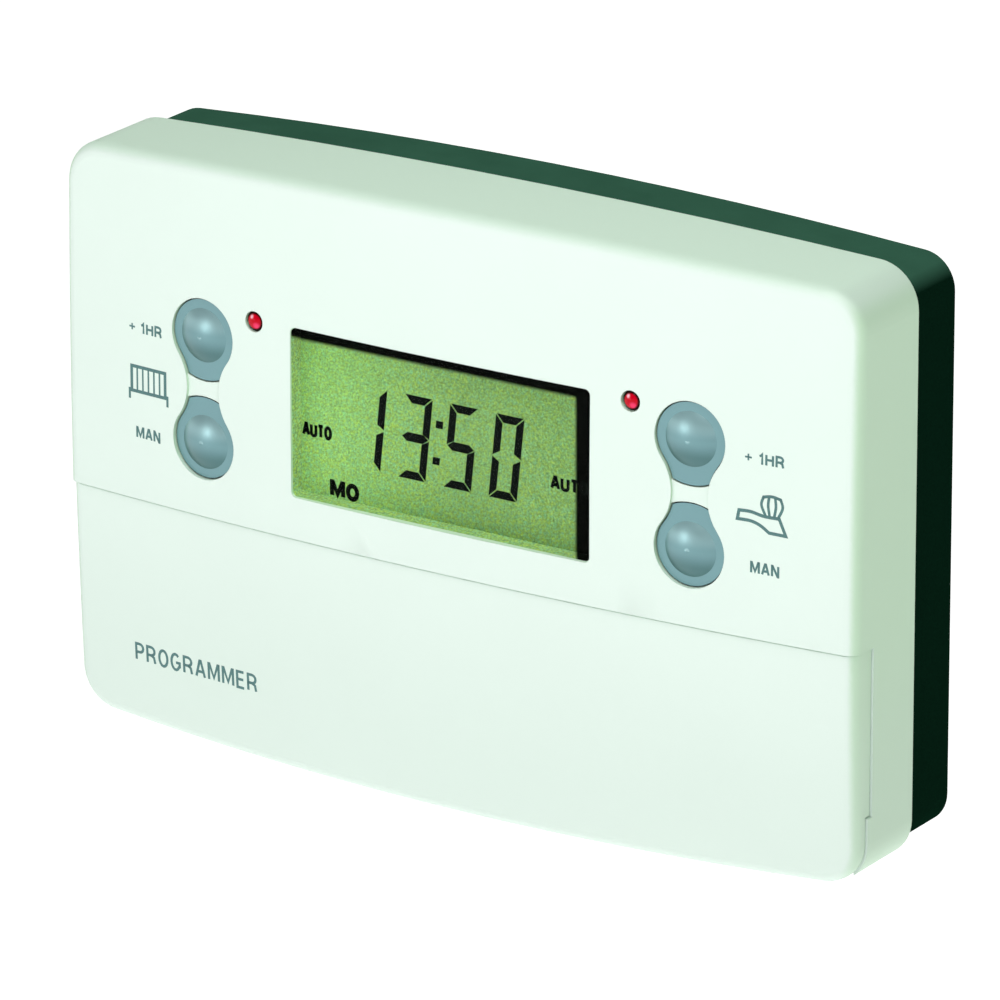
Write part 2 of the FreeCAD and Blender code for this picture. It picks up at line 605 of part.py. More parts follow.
def display_frame():
    """Open frame that stands on the control board, with a ledge at each end for the glass."""
    outer = display_plate("frame_outer", "lens_width + part_gap + 2 * frame_wall",
                          "glass_height + part_gap + 2 * frame_wall", CONTROL_FRONT,
                          "lens_back - part_gap / 2")
    pocket = display_plate("frame_pocket", "lens_width + part_gap", "glass_height + part_gap",
                           REAR_GLASS_BACK, FAR)
    hollow = display_plate("frame_hollow", "lens_width - 2 * glass_ledge",
                           "glass_height + part_gap", f"{CONTROL_FRONT} - overrun", FAR)
    return cut("display_frame", outer, pocket, hollow)


def zebra_strip(tag, sign):
    up = f"{WINDOW_UP} + {sign} * ( glass_height - zebra_thick ) / 2"
    return plate(f"zebra_{tag}", 0, up, "zebra_length", "zebra_thick", CONTROL_FRONT,
                 FRONT_GLASS_BACK)


parts["display_lens"] = display_lens()
parts["display_frame"] = display_frame()
parts["display_front_glass"] = display_plate("display_front_glass", "lens_width", "glass_height",
                                             FRONT_GLASS_BACK, "lens_back")
parts["display_rear_glass"] = display_plate("display_rear_glass", "lens_width",
                                            "rear_glass_height", REAR_GLASS_BACK, FRONT_GLASS_BACK)
parts["display_reflector"] = display_plate("display_reflector",
                                           "lens_width - 2 * glass_ledge - 2 * part_gap",
                                           "rear_glass_height",
                                           f"{REAR_GLASS_BACK} - reflector_thick", REAR_GLASS_BACK)
parts["zebra_connectors"] = group("zebra_connectors", both_sides(zebra_strip))


# ---------------------------------------------------------------- lamps and switches
def lamp(name, sign):
    """Three-millimetre lamp: rim, body and low round nose."""
    x = f"{sign} * lamp_across"
    nose_radius = "( lamp_radius * lamp_radius / nose_height + nose_height ) / 2"
    ball = doc.addObject("Part::Sphere", f"{name}_ball")
    bind(ball, "Radius", nose_radius)
    put(ball, x, f"lamp_front - {nose_radius}", "lamp_up")
    nose = common(f"{name}_nose", ball, rod(f"{name}_nose_limit", x, "lamp_up", "lamp_radius",
                                            "lamp_front - 2 * nose_height", "lamp_front + overrun"))
    body = rod(f"{name}_body", x, "lamp_up", "lamp_radius", "lamp_front - lamp_length",
               "lamp_front - nose_height")
    rim = rod(f"{name}_rim", x, "lamp_up", "lamp_radius + 4 * lamp_gap",
              "lamp_front - lamp_length", "lamp_front - lamp_length + lamp_rim")
    return fuse(name, nose, body, rim)


def lamp_spacer(tag, sign):
    x = f"{sign} * lamp_across"
    return cut(f"lamp_spacer_{tag}",
               rod(f"lamp_spacer_body_{tag}", x, "lamp_up", "spacer_radius", CONTROL_FRONT,
                   "lamp_front - lamp_length"),
               rod(f"lamp_spacer_bore_{tag}", x, "lamp_up", "lamp_radius / 2",
                   f"{CONTROL_FRONT} - overrun", "lamp_front"))


def front_switch(side, level):
    """Square push switch with a round hole for its plunger."""
    x, z = f"{SIDES[side]} * key_across", f"key_up + {LEVELS[level]} * key_half_pitch"
    body = plate(f"switch_body_{side}_{level}", x, z, "switch_size", "switch_size", CONTROL_FRONT,
                 f"{CONTROL_FRONT} + switch_height")
    hole = rod(f"switch_hole_{side}_{level}", x, z, "plunger_radius + plunger_gap",
               f"{CONTROL_FRONT} + switch_height / 2", FAR)
    return cut(f"switch_{side}_{level}", body, hole)


def plunger(name, side, level):
    x, z = f"{SIDES[side]} * key_across", f"key_up + {LEVELS[level]} * key_half_pitch"
    return rod(name, x, z, "plunger_radius", f"{CONTROL_FRONT} + 0.7 * switch_height",
               "plunger_top")


def small_switch(index):
    return plate(f"small_switch_{index}", small_key_across(index), "small_key_up",
                 "small_switch_size", "small_switch_size", CONTROL_FRONT,
                 f"{CONTROL_FRONT} + small_switch_height")


parts["heating_lamp"] = lamp("heating_lamp", "-1")
parts["water_lamp"] = lamp("water_lamp", "1")
parts["lamp_spacers"] = group("lamp_spacers", both_sides(lamp_spacer))
parts["front_switches"] = group("front_switches", [front_switch(*spot) for spot in KEY_NAMES])
for spot, name in KEY_NAMES.items():
    parts[f"{name}_plunger"] = plunger(f"{name}_plunger", *spot)
parts["fascia_switches"] = group("fascia_switches",
                                 [small_switch(index) for index in range(len(SMALL_KEYS) + 1)])


# ---------------------------------------------------------------- boards and what they carry
def board(name, half, bottom, top, back, screw_across, screw_top, screw_bottom):
    """Circuit board with four screw holes."""
    sheet_body = upright_block(f"{name}_sheet", f"-{half}", half, bottom, top, back,
                               f"{back} + board_thick", "wall_thick")
    holes = [rod(f"{name}_hole_{index}", f"{across} * {screw_across}",
                 screw_top if up > 0 else screw_bottom, "board_hole_radius",
                 f"{back} - overrun", f"{back} + board_thick + overrun")
             for index, (across, up) in enumerate(CORNERS)]
    return cut(name, sheet_body, *holes)


def screw(name, x, up, radius, head_radius, head_height, seat, tip, sign):
    """Screw along the depth with a slotted head; sign 1 puts the head in front of its seat."""
    lo, hi = (tip, seat) if sign > 0 else (seat, tip)
    head_end = f"{seat} + ( {sign} ) * ( {head_height} )"
    slot_end = f"{seat} + ( {sign} ) * ( {head_height} ) / 2"
    head_lo, head_hi = (seat, head_end) if sign > 0 else (head_end, seat)
    slot_lo, slot_hi = (slot_end, head_end) if sign > 0 else (head_end, slot_end)
    solid = fuse(f"{name}_solid", rod(f"{name}_shank", x, up, radius, lo, hi),
                 rod(f"{name}_head", x, up, head_radius, head_lo, head_hi))
    slot = plate(f"{name}_slot", x, up, f"3 * ( {head_radius} )", f"{head_radius} / 3", slot_lo,
                 slot_hi)
    return cut(name, solid, slot)


def corner_screws(name, across, top, bottom, radius, head_radius, head_height, seat, tip, sign):
    return group(name, [screw(f"{name}_{index}", f"{x} * {across}", top if z > 0 else bottom,
                              radius, head_radius, head_height, seat, tip, sign)
                        for index, (x, z) in enumerate(CORNERS)])


parts["control_board"] = board("control_board", "control_board_half", "control_board_bottom",
                               "control_board_top", "control_board_back", "board_screw_across",
                               "board_screw_top", "board_screw_bottom")
parts["power_board"] = board("power_board", "power_board_half", "power_board_bottom",
                             "power_board_top", "power_board_back", "power_screw_across",
                             "power_screw_top", "power_screw_bottom")
parts["control_board_screws"] = corner_screws(
    "control_board_screws", "board_screw_across", "board_screw_top", "board_screw_bottom",
    "small_screw_radius", "small_head_radius", "small_head_height", "control_board_back",
    FASCIA_BACK, -1)
parts["power_board_screws"] = corner_screws(
    "power_board_screws", "power_screw_across", "power_screw_top", "power_screw_bottom",
    "small_screw_radius", "small_head_radius", "small_head_height", POWER_FRONT,
    f"{PARTITION_BACK} + part_gap", 1)
parts["case_screws"] = corner_screws(
    "case_screws", "case_screw_across", "case_screw_up", "-case_screw_up", "case_screw_radius",
    "case_head_radius", "case_head_height", PARTITION_BACK, "fascia_front - 2 * fascia_thick", -1)



def bay_plate(name, x, up, width, height, reach):
    """Block that hangs from the rear face of the power board."""
    return plate(name, x, up, width, height, f"power_board_back - {reach}", "power_board_back")


def bay_rod(name, x, up, radius, reach):
    """Round component that hangs from the rear face of the power board."""
    return rod(name, x, up, radius, f"power_board_back - {reach}", "power_board_back")


def bay_cross_rod(name, x0, x1, up, radius):
    """Round component that lies along X, just clear of the power board."""
    return cross_rod(name, x0, x1, f"power_board_back - {radius} - lead_gap", up, radius)


for name, sign in (("heating_relay", "+"), ("water_relay", "-")):
    parts[name] = bay_plate(name, "relay_across", f"relay_up {sign} relay_half_pitch",
                            "relay_width", "relay_height", "relay_reach")
parts["mains_capacitor"] = bay_plate("mains_capacitor", "film_across", "film_up", "film_width",
                                     "film_height", "film_reach")
parts["surge_varistor"] = bay_rod("surge_varistor", "varistor_across", "varistor_up",
                                  "varistor_radius", "varistor_reach")
parts["backup_cell"] = bay_rod("backup_cell", "cell_across", "cell_up", "cell_radius", "cell_reach")
parts["smoothing_capacitor"] = bay_cross_rod("smoothing_capacitor", "can_start", "can_end",
                                             "can_up", "can_radius")
parts["dropper_resistor"] = bay_cross_rod("dropper_resistor", "resistor_start", "resistor_end",
                                          "resistor_up", "resistor_radius")
parts["board_link"] = plate("board_link", 0, "link_up", "link_width", "link_height", POWER_FRONT,
                            "control_board_back")
parts["microcontroller"] = plate("microcontroller", 0, WINDOW_UP, "chip_size", "chip_size",
                                 CONTROL_FRONT, f"{CONTROL_FRONT} + chip_height")
parts["clock_crystal"] = plate("clock_crystal", "crystal_across", WINDOW_UP, "crystal_width",
                               "crystal_height", CONTROL_FRONT, f"{CONTROL_FRONT} + crystal_rise")


# ---------------------------------------------------------------- selector on the back
def selector_switch():
    """Low slide switch on the rear of the power board, with a track for its slider."""
    body = bay_plate("selector_body", "selector_across", "selector_up", "selector_width",
                     "selector_height", "selector_reach")
    track = plate("selector_track", "selector_across", "selector_up", "track_width",
                  "track_height", 0, "power_board_back - selector_reach + track_depth")
    return cut("selector_switch", body, track)


parts["selector_switch"] = selector_switch()
parts["selector_slider"] = plate("selector_slider", "selector_across - selector_travel / 2",
                                 "selector_up", "slider_width", "slider_height",
                                 "power_board_back - slider_reach",
                                 "power_board_back - selector_reach + track_depth - part_gap")


# ---------------------------------------------------------------- terminals
def way_across(index):
    return f"( {index} - ( way_count - 1 ) / 2 ) * way_pitch"


WAYS = range(int(SIZES["way_count"]))


def wire_way(name, x, grow, z0, z1):
    """Square way for one cable core, seen along Z."""
    half = f"( wire_half + {grow} )"
    return box(name, f"{x} - {half}", f"{x} + {half}", f"wire_depth - {half}",
               f"wire_depth + {half}", z0, z1)


def terminal_block():
    half = "( way_count * way_pitch / 2 + 1 )"
    body = box("terminal_body", f"-{half}", half, "plate_thick", "block_front", "block_bottom",
               "block_top")
    tools = []
    for index in WAYS:
        x = way_across(index)
        room = "( clamp_width / 2 + part_gap / 2 )"
        tools += [
            box(f"clamp_room_{index}", f"{x} - {room}", f"{x} + {room}", "plate_thick - overrun",
                "clamp_front + part_gap / 2", "clamp_bottom - part_gap / 2",
                "clamp_top + part_gap / 2"),
            box(f"strip_room_{index}", f"{x} - strip_width / 2 - part_gap",
                f"{x} + strip_width / 2 + part_gap", "plate_thick - overrun",
                "clamp_back + part_gap", "clamp_top", "block_top + overrun"),
            wire_way(f"wire_way_{index}", x, "part_gap / 2", "block_bottom - overrun",
                     "clamp_bottom"),
            rod(f"screw_way_{index}", x, "terminal_screw_up", "terminal_head_radius + part_gap",
                "clamp_front", "block_front + overrun"),
        ]
    return cut("terminal_block", body, *tools)


def terminal_clamp(index):
    x = way_across(index)
    body = box(f"clamp_body_{index}", f"{x} - clamp_width / 2", f"{x} + clamp_width / 2",
               "clamp_back", "clamp_front", "clamp_bottom", "clamp_top")
    wire = wire_way(f"clamp_wire_{index}", x, "0", "clamp_bottom - overrun",
                    "clamp_top + overrun")
    bore = rod(f"clamp_bore_{index}", x, "terminal_screw_up", "terminal_screw_radius + pin_gap",
               "wire_depth", "clamp_front + overrun")
    return cut(f"clamp_{index}", body, wire, bore)


def plate_contact(index):
    """Flat strip under the clamp that ends in a two-leaf fork."""
    x = way_across(index)
    back, front = "plate_thick + part_gap / 2", "plate_thick + part_gap / 2 + strip_thick"
    strip = box(f"strip_{index}", f"{x} - strip_width / 2", f"{x} + strip_width / 2", back, front,
                "clamp_bottom", "blade_up + blade_height / 2")
    leaves = []
    for tag, sign in (("left", "-1"), ("right", "1")):
        middle = f"{x} + {sign} * ( blade_thick / 2 + leaf_gap + leaf_thick / 2 )"
        leaves.append(plate(f"leaf_{tag}_{index}", middle, "blade_up", "leaf_thick",
                            "blade_height", back, "leaf_front"))
    return fuse(f"contact_{index}", strip, *leaves)


def contact_blade(index):
    return plate(f"blade_{index}", way_across(index), "blade_up", "blade_thick", "blade_height",
                 "plate_thick + 2 * strip_thick", "power_board_back")


parts["terminal_block"] = terminal_block()
parts["terminal_clamps"] = group("terminal_clamps", [terminal_clamp(index) for index in WAYS])
parts["terminal_screws"] = group("terminal_screws", [
    screw(f"terminal_screw_{index}", way_across(index), "terminal_screw_up",
          "terminal_screw_radius", "terminal_head_radius", "block_front - clamp_front - part_gap",
          "clamp_front", "wire_depth + wire_half - part_gap", 1) for index in WAYS])
parts["plate_contacts"] = group("plate_contacts", [plate_contact(index) for index in WAYS])
parts["contact_blades"] = group("contact_blades", [contact_blade(index) for index in WAYS])


# ---------------------------------------------------------------- wall plate
def fixing_slot(tag, sign):
    x, half = f"{sign} * fixing_spacing / 2", "( slot_length / 2 - slot_radius )"
    ends = [rod(f"slot_end_{tag}_{n}", f"{x} + {step} * {half}", 0, "slot_radius", -FAR, FAR)
            for n, step in enumerate((-1, 1))]
    return fuse(f"fixing_slot_{tag}", *ends,
                plate(f"slot_middle_{tag}", x, 0, f"2 * {half}", "2 * slot_radius", -FAR, FAR))


def peg_sleeve(tag, sign):
    return rod(f"peg_sleeve_{tag}", f"{sign} * peg_across", "peg_up",
               "peg_radius + peg_gap + peg_sleeve_wall", "plate_thick / 2", "flange_depth")


def peg_bore(tag, sign):
    return rod(f"peg_bore_{tag}", f"{sign} * peg_across", "peg_up", "peg_radius + peg_gap",
               "plate_thick", FAR)


def plate_screw_bore(tag, sign):
    return upright_rod(f"plate_screw_bore_{tag}", f"{sign} * screw_across", "screw_depth",
                       "screw_radius + pin_gap", -FAR, 0)


def wall_plate():
    back = upright_block("plate_sheet", "-plate_width / 2", "plate_width / 2", "-plate_height / 2",
                         "plate_height / 2", 0, "plate_thick", "plate_corner")
    flange = plate("plate_flange", 0, "-plate_height / 2 + flange_thick / 2", "flange_width",
                   "flange_thick", "plate_thick / 2", "flange_depth")
    rib = plate("plate_rib", 0, "plate_height / 2 - rib_thick / 2", "flange_width", "rib_thick",
                "plate_thick / 2", "flange_depth / 2")
    entry = upright_block("cable_entry", "-entry_width / 2", "entry_width / 2", "entry_bottom",
                          "entry_top", "-overrun", FAR, "wall_thick")
    return cut("wall_plate", fuse("plate_solid", back, flange, rib, *both_sides(peg_sleeve)), entry,
               *both_sides(fixing_slot), *both_sides(peg_bore), *both_sides(plate_screw_bore))


SKIRT_FOOT = "-( rear_height / 2 + rear_bow )"
TAB_TOP = "-plate_height / 2 - tab_gap"
HEAD_TOP = "-plate_height / 2 - 2 * tab_gap - tab_thick + part_gap / 2"


def retaining_screw(tag, sign):
    """Captive screw that draws the housing's tab up to the wall plate's flange."""
    x = f"{sign} * screw_across"
    head_foot = f"{HEAD_TOP} - screw_head_height"
    solid = fuse(f"retaining_solid_{tag}",
                 upright_rod(f"retaining_shank_{tag}", x, "screw_depth", "screw_radius", HEAD_TOP,
                             "-plate_height / 2 + flange_thick"),
                 upright_rod(f"retaining_head_{tag}", x, "screw_depth", "screw_head_radius",
                             head_foot, HEAD_TOP))
    slot = box(f"retaining_slot_{tag}", f"{x} - 2 * screw_head_radius",
               f"{x} + 2 * screw_head_radius", "screw_depth - screw_slot / 2",
               "screw_depth + screw_slot / 2", f"{head_foot} - overrun", f"{head_foot} + overrun")
    return cut(f"retaining_screw_{tag}", solid, slot)


parts["wall_plate"] = wall_plate()
parts["retaining_screws"] = group("retaining_screws", both_sides(retaining_screw))


# ---------------------------------------------------------------- rear housing
def screw_tab(tag, sign):
    return plate(f"tab_{tag}", f"{sign} * screw_across", f"{TAB_TOP} - tab_thick / 2", "tab_width",
                 "tab_thick", "2 * rear_start", f"{PARTITION_BACK} + part_gap")


def open_slot(name, x, radius, z0, z1):
    """Slot that is open towards the wall and ends round at the screw's depth."""
    return fuse(name, upright_rod(f"{name}_end", x, "screw_depth", radius, z0, z1),
                box(f"{name}_way", f"{x} - ( {radius} )", f"{x} + ( {radius} )", "-overrun",
                    "screw_depth", z0, z1))


def rear_housing():
    sides = ("rear_width", "rear_height", ("rear_bow", "rear_bow"), "rear_corner")
    form = bowed_block("rear_form", *sides, "rear_start", "split_depth")
    recess = bowed_block("rear_recess", *sides, "rear_start - overrun", PARTITION_BACK,
                         "rear_wall")
    skirt = cut("rear_skirt", form, recess)
    rim = ("case_width", "side_height", ("top_bow", "bottom_bow"), "corner_radius")
    lip_front = "split_depth + lip_height"
    lip_inset = "( wall_thick + lip_gap )"
    lip = cut("lip", bowed_block("lip_outer", *rim, PARTITION_BACK, lip_front, lip_inset),
              bowed_block("lip_inner", *rim, "split_depth", f"{lip_front} + overrun",
                          f"( {lip_inset} + lip_thick )"))
    bay_side = "( bay_half_width + partition_thick )"
    bay = box("bay_outer", f"-{bay_side}", bay_side, "bay_back", "split_depth",
              "bay_bottom - partition_thick", "bay_top + partition_thick")
    bay_hollow = box("bay_hollow", "-bay_half_width", "bay_half_width",
                     "bay_back + partition_thick", FAR, "bay_bottom", "bay_top")
    solids, tools = [skirt, lip, bay, *both_sides(screw_tab)], [bay_hollow]
    for side, sign in SIDES.items():
        solids.append(rod(f"peg_{side}", f"{sign} * peg_across", "peg_up", "peg_radius", "peg_end",
                          f"{PARTITION_BACK} + part_gap"))
        x = f"{sign} * screw_across"
        tools.append(open_slot(f"head_slot_{side}", x, "( screw_head_radius + slot_clearance )",
                               f"{SKIRT_FOOT} - overrun", f"{TAB_TOP} - tab_thick"))
        tools.append(open_slot(f"shank_slot_{side}", x, "( screw_radius + slot_clearance )",
                               f"{TAB_TOP} - 2 * tab_thick", f"{TAB_TOP} + overrun"))
    for index, (across, up) in enumerate(CORNERS):
        tools.append(rod(f"case_hole_{index}", f"{across} * case_screw_across",
                         f"{up} * case_screw_up", "case_screw_radius + part_gap", 0, FAR))
        x = f"{across} * power_screw_across"
        z = "power_screw_top" if up > 0 else "power_screw_bottom"
        solids.append(rod(f"pillar_{index}", x, z, "small_boss_radius", "split_depth - part_gap",
                          "power_board_back"))
        tools.append(rod(f"pillar_bore_{index}", x, z, "small_screw_radius + pin_gap",
                         f"{PARTITION_BACK} - overrun", FAR))
    for index in WAYS:
        tools.append(plate(f"blade_slot_{index}", way_across(index), "blade_up",
                           "blade_thick + 2 * blade_gap", "blade_height + 2 * blade_gap",
                           "bay_back", FAR))
    tools.append(plate("selector_window", "selector_across", "selector_up",
                       "selector_width + 2 * selector_gap", "selector_height + 2 * selector_gap",
                       "bay_back", FAR))
    return cut("rear_housing", fuse("rear_solids", *solids), *tools)


parts["rear_housing"] = rear_housing()


# ---------------------------------------------------------------- checks and output
def check_and_write():
    doc.recompute()
    failed = [item.Name for item in doc.Objects if {"Invalid", "Error"} & set(item.State)]
    if failed:
        raise RuntimeError(f"objects failed to build: {failed}")
    os.makedirs("parts", exist_ok=True)
    for name, part in parts.items():
        shape = part.Shape
        if shape.isNull() or not shape.isValid() or not shape.Solids:
            raise RuntimeError(f"{name} is not a valid solid")
        part.Label = name
        shape.exportStep(f"parts/{name}.step")
        print(f"{name}: {len(shape.Solids)} solid(s), {shape.Volume:.1f} mm3")


check_and_write()
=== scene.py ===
import json
import math

import bmesh
import bpy
from mathutils import Matrix, Vector
from mathutils.bvhtree import BVHTree


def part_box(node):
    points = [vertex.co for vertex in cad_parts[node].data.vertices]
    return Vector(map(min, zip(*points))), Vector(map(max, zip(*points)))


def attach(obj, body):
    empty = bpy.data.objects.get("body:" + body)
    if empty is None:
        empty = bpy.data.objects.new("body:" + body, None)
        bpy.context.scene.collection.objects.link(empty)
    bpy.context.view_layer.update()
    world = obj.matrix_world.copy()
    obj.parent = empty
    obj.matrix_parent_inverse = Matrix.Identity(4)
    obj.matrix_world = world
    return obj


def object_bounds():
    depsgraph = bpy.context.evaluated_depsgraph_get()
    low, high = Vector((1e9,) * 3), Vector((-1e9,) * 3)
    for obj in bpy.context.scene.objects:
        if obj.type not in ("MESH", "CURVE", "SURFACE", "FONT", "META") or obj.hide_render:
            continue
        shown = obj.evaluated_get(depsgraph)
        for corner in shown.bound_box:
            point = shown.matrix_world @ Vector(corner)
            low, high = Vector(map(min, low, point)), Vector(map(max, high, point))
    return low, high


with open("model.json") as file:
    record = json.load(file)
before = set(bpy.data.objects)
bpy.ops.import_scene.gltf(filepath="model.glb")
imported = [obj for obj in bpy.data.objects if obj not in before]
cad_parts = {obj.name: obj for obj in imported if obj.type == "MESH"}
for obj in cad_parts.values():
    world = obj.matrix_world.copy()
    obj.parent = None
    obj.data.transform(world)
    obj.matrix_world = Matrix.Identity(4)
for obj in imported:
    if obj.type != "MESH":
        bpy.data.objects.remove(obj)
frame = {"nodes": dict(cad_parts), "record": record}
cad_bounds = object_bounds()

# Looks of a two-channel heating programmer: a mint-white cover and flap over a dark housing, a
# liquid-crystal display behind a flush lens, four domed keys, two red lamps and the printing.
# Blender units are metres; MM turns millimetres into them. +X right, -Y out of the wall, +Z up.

MM = 0.001
nodes = frame["nodes"]
slot_of = {part["node"]: part["material_slot"] for part in frame["record"]["subparts"]}


# ---------------------------------------------------------------- node helpers
class Shader:
    """A node material with one Principled surface, built up by short calls."""

    def __init__(self, name, colour, roughness, **sockets):
        self.material = bpy.data.materials.new(name)
        self.material.use_nodes = True
        self.tree = self.material.node_tree
        self.tree.nodes.clear()
        self.output = self.add("ShaderNodeOutputMaterial")
        self.surface = self.add("ShaderNodeBsdfPrincipled")
        self.link(self.surface.outputs[0], self.output.inputs["Surface"])
        self.surface.inputs["Base Color"].default_value = (*colour, 1)
        self.surface.inputs["Roughness"].default_value = roughness
        for socket, value in sockets.items():
            self.surface.inputs[socket.replace("_", " ")].default_value = value
        self.place = self.add("ShaderNodeTexCoord").outputs["Object"]

    def add(self, kind, **settings):
        node = self.tree.nodes.new(kind)
        for setting, value in settings.items():
            setattr(node, setting, value)
        return node

    def link(self, source, target):
        self.tree.links.new(source, target)

    def noise(self, size, detail=2.0, rough=0.5, stretch=(1, 1, 1)):
        """Noise with features about size metres across."""
        mapping = self.add("ShaderNodeMapping")
        mapping.inputs["Scale"].default_value = stretch
        self.link(self.place, mapping.inputs["Vector"])
        node = self.add("ShaderNodeTexNoise")
        node.inputs["Scale"].default_value = 1 / size
        node.inputs["Detail"].default_value = detail
        node.inputs["Roughness"].default_value = rough
        self.link(mapping.outputs[0], node.inputs["Vector"])
        return node.outputs["Fac"]

    def cells(self, size):
        """Distance to the nearest of cells about size metres apart."""
        node = self.add("ShaderNodeTexVoronoi")
        node.inputs["Scale"].default_value = 1 / size
        self.link(self.place, node.inputs["Vector"])
        return node.outputs["Distance"]

    def spread(self, source, low, high, start=0.0, end=1.0, smooth=False):
        """Maps a value from start..end onto low..high."""
        node = self.add("ShaderNodeMapRange")
        node.interpolation_type = "SMOOTHSTEP" if smooth else "LINEAR"
        for socket, value in (("From Min", start), ("From Max", end), ("To Min", low),
                              ("To Max", high)):
            node.inputs[socket].default_value = value
        self.link(source, node.inputs["Value"])
        return node.outputs["Result"]

    def maths(self, operation, first, second):
        node = self.add("ShaderNodeMath", operation=operation)
        for index, value in enumerate((first, second)):
            if isinstance(value, (int, float)):
                node.inputs[index].default_value = value
            else:
                self.link(value, node.inputs[index])
        return node.outputs[0]

    def blend(self, share, first, second):
        """Mixes two colours, each a tuple or a socket, by a share from a socket."""
        node = self.add("ShaderNodeMix", data_type="RGBA")
        for index, value in ((6, first), (7, second)):
            if isinstance(value, tuple):
                node.inputs[index].default_value = (*value, 1)
            else:
                self.link(value, node.inputs[index])
        self.link(share, node.inputs[0])
        return node.outputs[2]

    def colour(self, source):
        self.link(source, self.surface.inputs["Base Color"])

    def roughness(self, source):
        self.link(source, self.surface.inputs["Roughness"])

    def bump(self, height, depth, rounding=0.0):
        """Bump of depth metres, over edges that look rounded by rounding metres."""
        node = self.add("ShaderNodeBump")
        node.inputs["Strength"].default_value = 1.0
        node.inputs["Distance"].default_value = depth
        self.link(height, node.inputs["Height"])
        if rounding:
            edge = self.add("ShaderNodeBevel", samples=4)
            edge.inputs["Radius"].default_value = rounding
            self.link(edge.outputs[0], node.inputs["Normal"])
        self.link(node.outputs[0], self.surface.inputs["Normal"])

    def coordinate(self, axis):
        node = self.add("ShaderNodeSeparateXYZ")
        self.link(self.place, node.inputs[0])
        return node.outputs[axis]

    def normal(self, axis):
        """How far the surface faces along an axis of the object, from -1 to 1."""
        node = self.add("ShaderNodeSeparateXYZ")
        self.link(self.place.node.outputs["Normal"], node.inputs[0])
        return node.outputs[axis]


def scaled(colour, factor):
    return tuple(channel * factor for channel in colour)


# ---------------------------------------------------------------- materials
def moulded(name, colour, roughness, grain=0.28 * MM, relief=0.006 * MM, rounding=0.12 * MM,
            drift=0.04, **sockets):
    """Spark-textured moulding: fine grain in the relief, slow drift in colour and gloss."""
    shader = Shader(name, colour, roughness, **sockets)
    slow = shader.noise(22 * MM, 3)
    fine = shader.noise(grain, 3, 0.6)
    tone = shader.maths("ADD", shader.spread(slow, 0, 0.7, 0.3, 0.7),
                        shader.spread(fine, 0, 0.3, 0.3, 0.7))
    shader.colour(shader.blend(tone, scaled(colour, 1 - drift), scaled(colour, 1 + drift)))
    shader.roughness(shader.spread(fine, roughness - 0.05, roughness + 0.07, 0.3, 0.7))
    shader.bump(fine, relief, rounding)
    return shader.material


def metal(name, colour, roughness, stretch=(1, 1, 14)):
    """Plated metal with fine drawn lines and faint cloudiness."""
    shader = Shader(name, colour, roughness, Metallic=1.0)
    lines = shader.noise(0.9 * MM, 3, 0.6, stretch)
    clouds = shader.noise(2.5 * MM, 2)
    shader.colour(shader.blend(clouds, scaled(colour, 0.82), scaled(colour, 1.1)))
    shader.roughness(shader.spread(lines, roughness - 0.08, roughness + 0.14, 0.3, 0.7))
    shader.bump(lines, 0.004 * MM, 0.08 * MM)
    return shader.material


def glassy(name, tint, index, smudge, painted_film_reflection=False):
    """Clear sheet, glossy outside; if painted_film_reflection is set, its side faces seen from
    within carry a painted reflection: the display film's green with its painted shade.
    """
    shader = Shader(name, tint, smudge, Metallic=1.0)
    shader.roughness(shader.spread(shader.noise(9 * MM, 3), smudge, smudge * 3, 0.45, 0.75))
    through = shader.add("ShaderNodeBsdfTransparent")
    through.inputs["Color"].default_value = (*tint, 1)
    gloss = shader.add("ShaderNodeFresnel")
    gloss.inputs["IOR"].default_value = index
    inside = shader.add("ShaderNodeNewGeometry").outputs["Backfacing"]
    share = shader.maths("MULTIPLY", gloss.outputs[0], shader.maths("SUBTRACT", 1.0, inside))
    # Painted reflection: a diffuse surface in the film's colour stands in for the film mirrored in
    # the side faces.
    painted_reflection = shader.add("ShaderNodeBsdfDiffuse")
    facing = shader.maths("ABSOLUTE", shader.normal("Y"), 0)
    edge = shader.maths("MULTIPLY", inside, shader.spread(facing, float(painted_film_reflection), 0, 0.5, 0.6))
    shader.link(film(shader), painted_reflection.inputs["Color"])
    both = shader.add("ShaderNodeMixShader")
    shader.link(share, both.inputs[0])
    shader.link(through.outputs[0], both.inputs[1])
    shader.link(shader.surface.outputs[0], both.inputs[2])
    with_painted_reflection = shader.add("ShaderNodeMixShader")
    shader.link(edge, with_painted_reflection.inputs[0])
    shader.link(both.outputs[0], with_painted_reflection.inputs[1])
    shader.link(painted_reflection.outputs[0], with_painted_reflection.inputs[2])
    shader.link(with_painted_reflection.outputs[0], shader.output.inputs["Surface"])
    return shader.material


REFLECTOR_GREEN = (0.45, 0.76, 0.26)
# Painted shade on the display film: where its band along the window's right and top begins, and
# how soft its edge is.
SHADE_RIGHT, SHADE_TOP, SHADE_SOFT = 22.85 * MM, 21.85 * MM, 0.7 * MM
WINDOW_FRONT = 29.6 * MM
# How far the painted shade band slants inwards for each unit of depth behind the window.
SLANT_RIGHT, SLANT_TOP = 0.67, 0.43


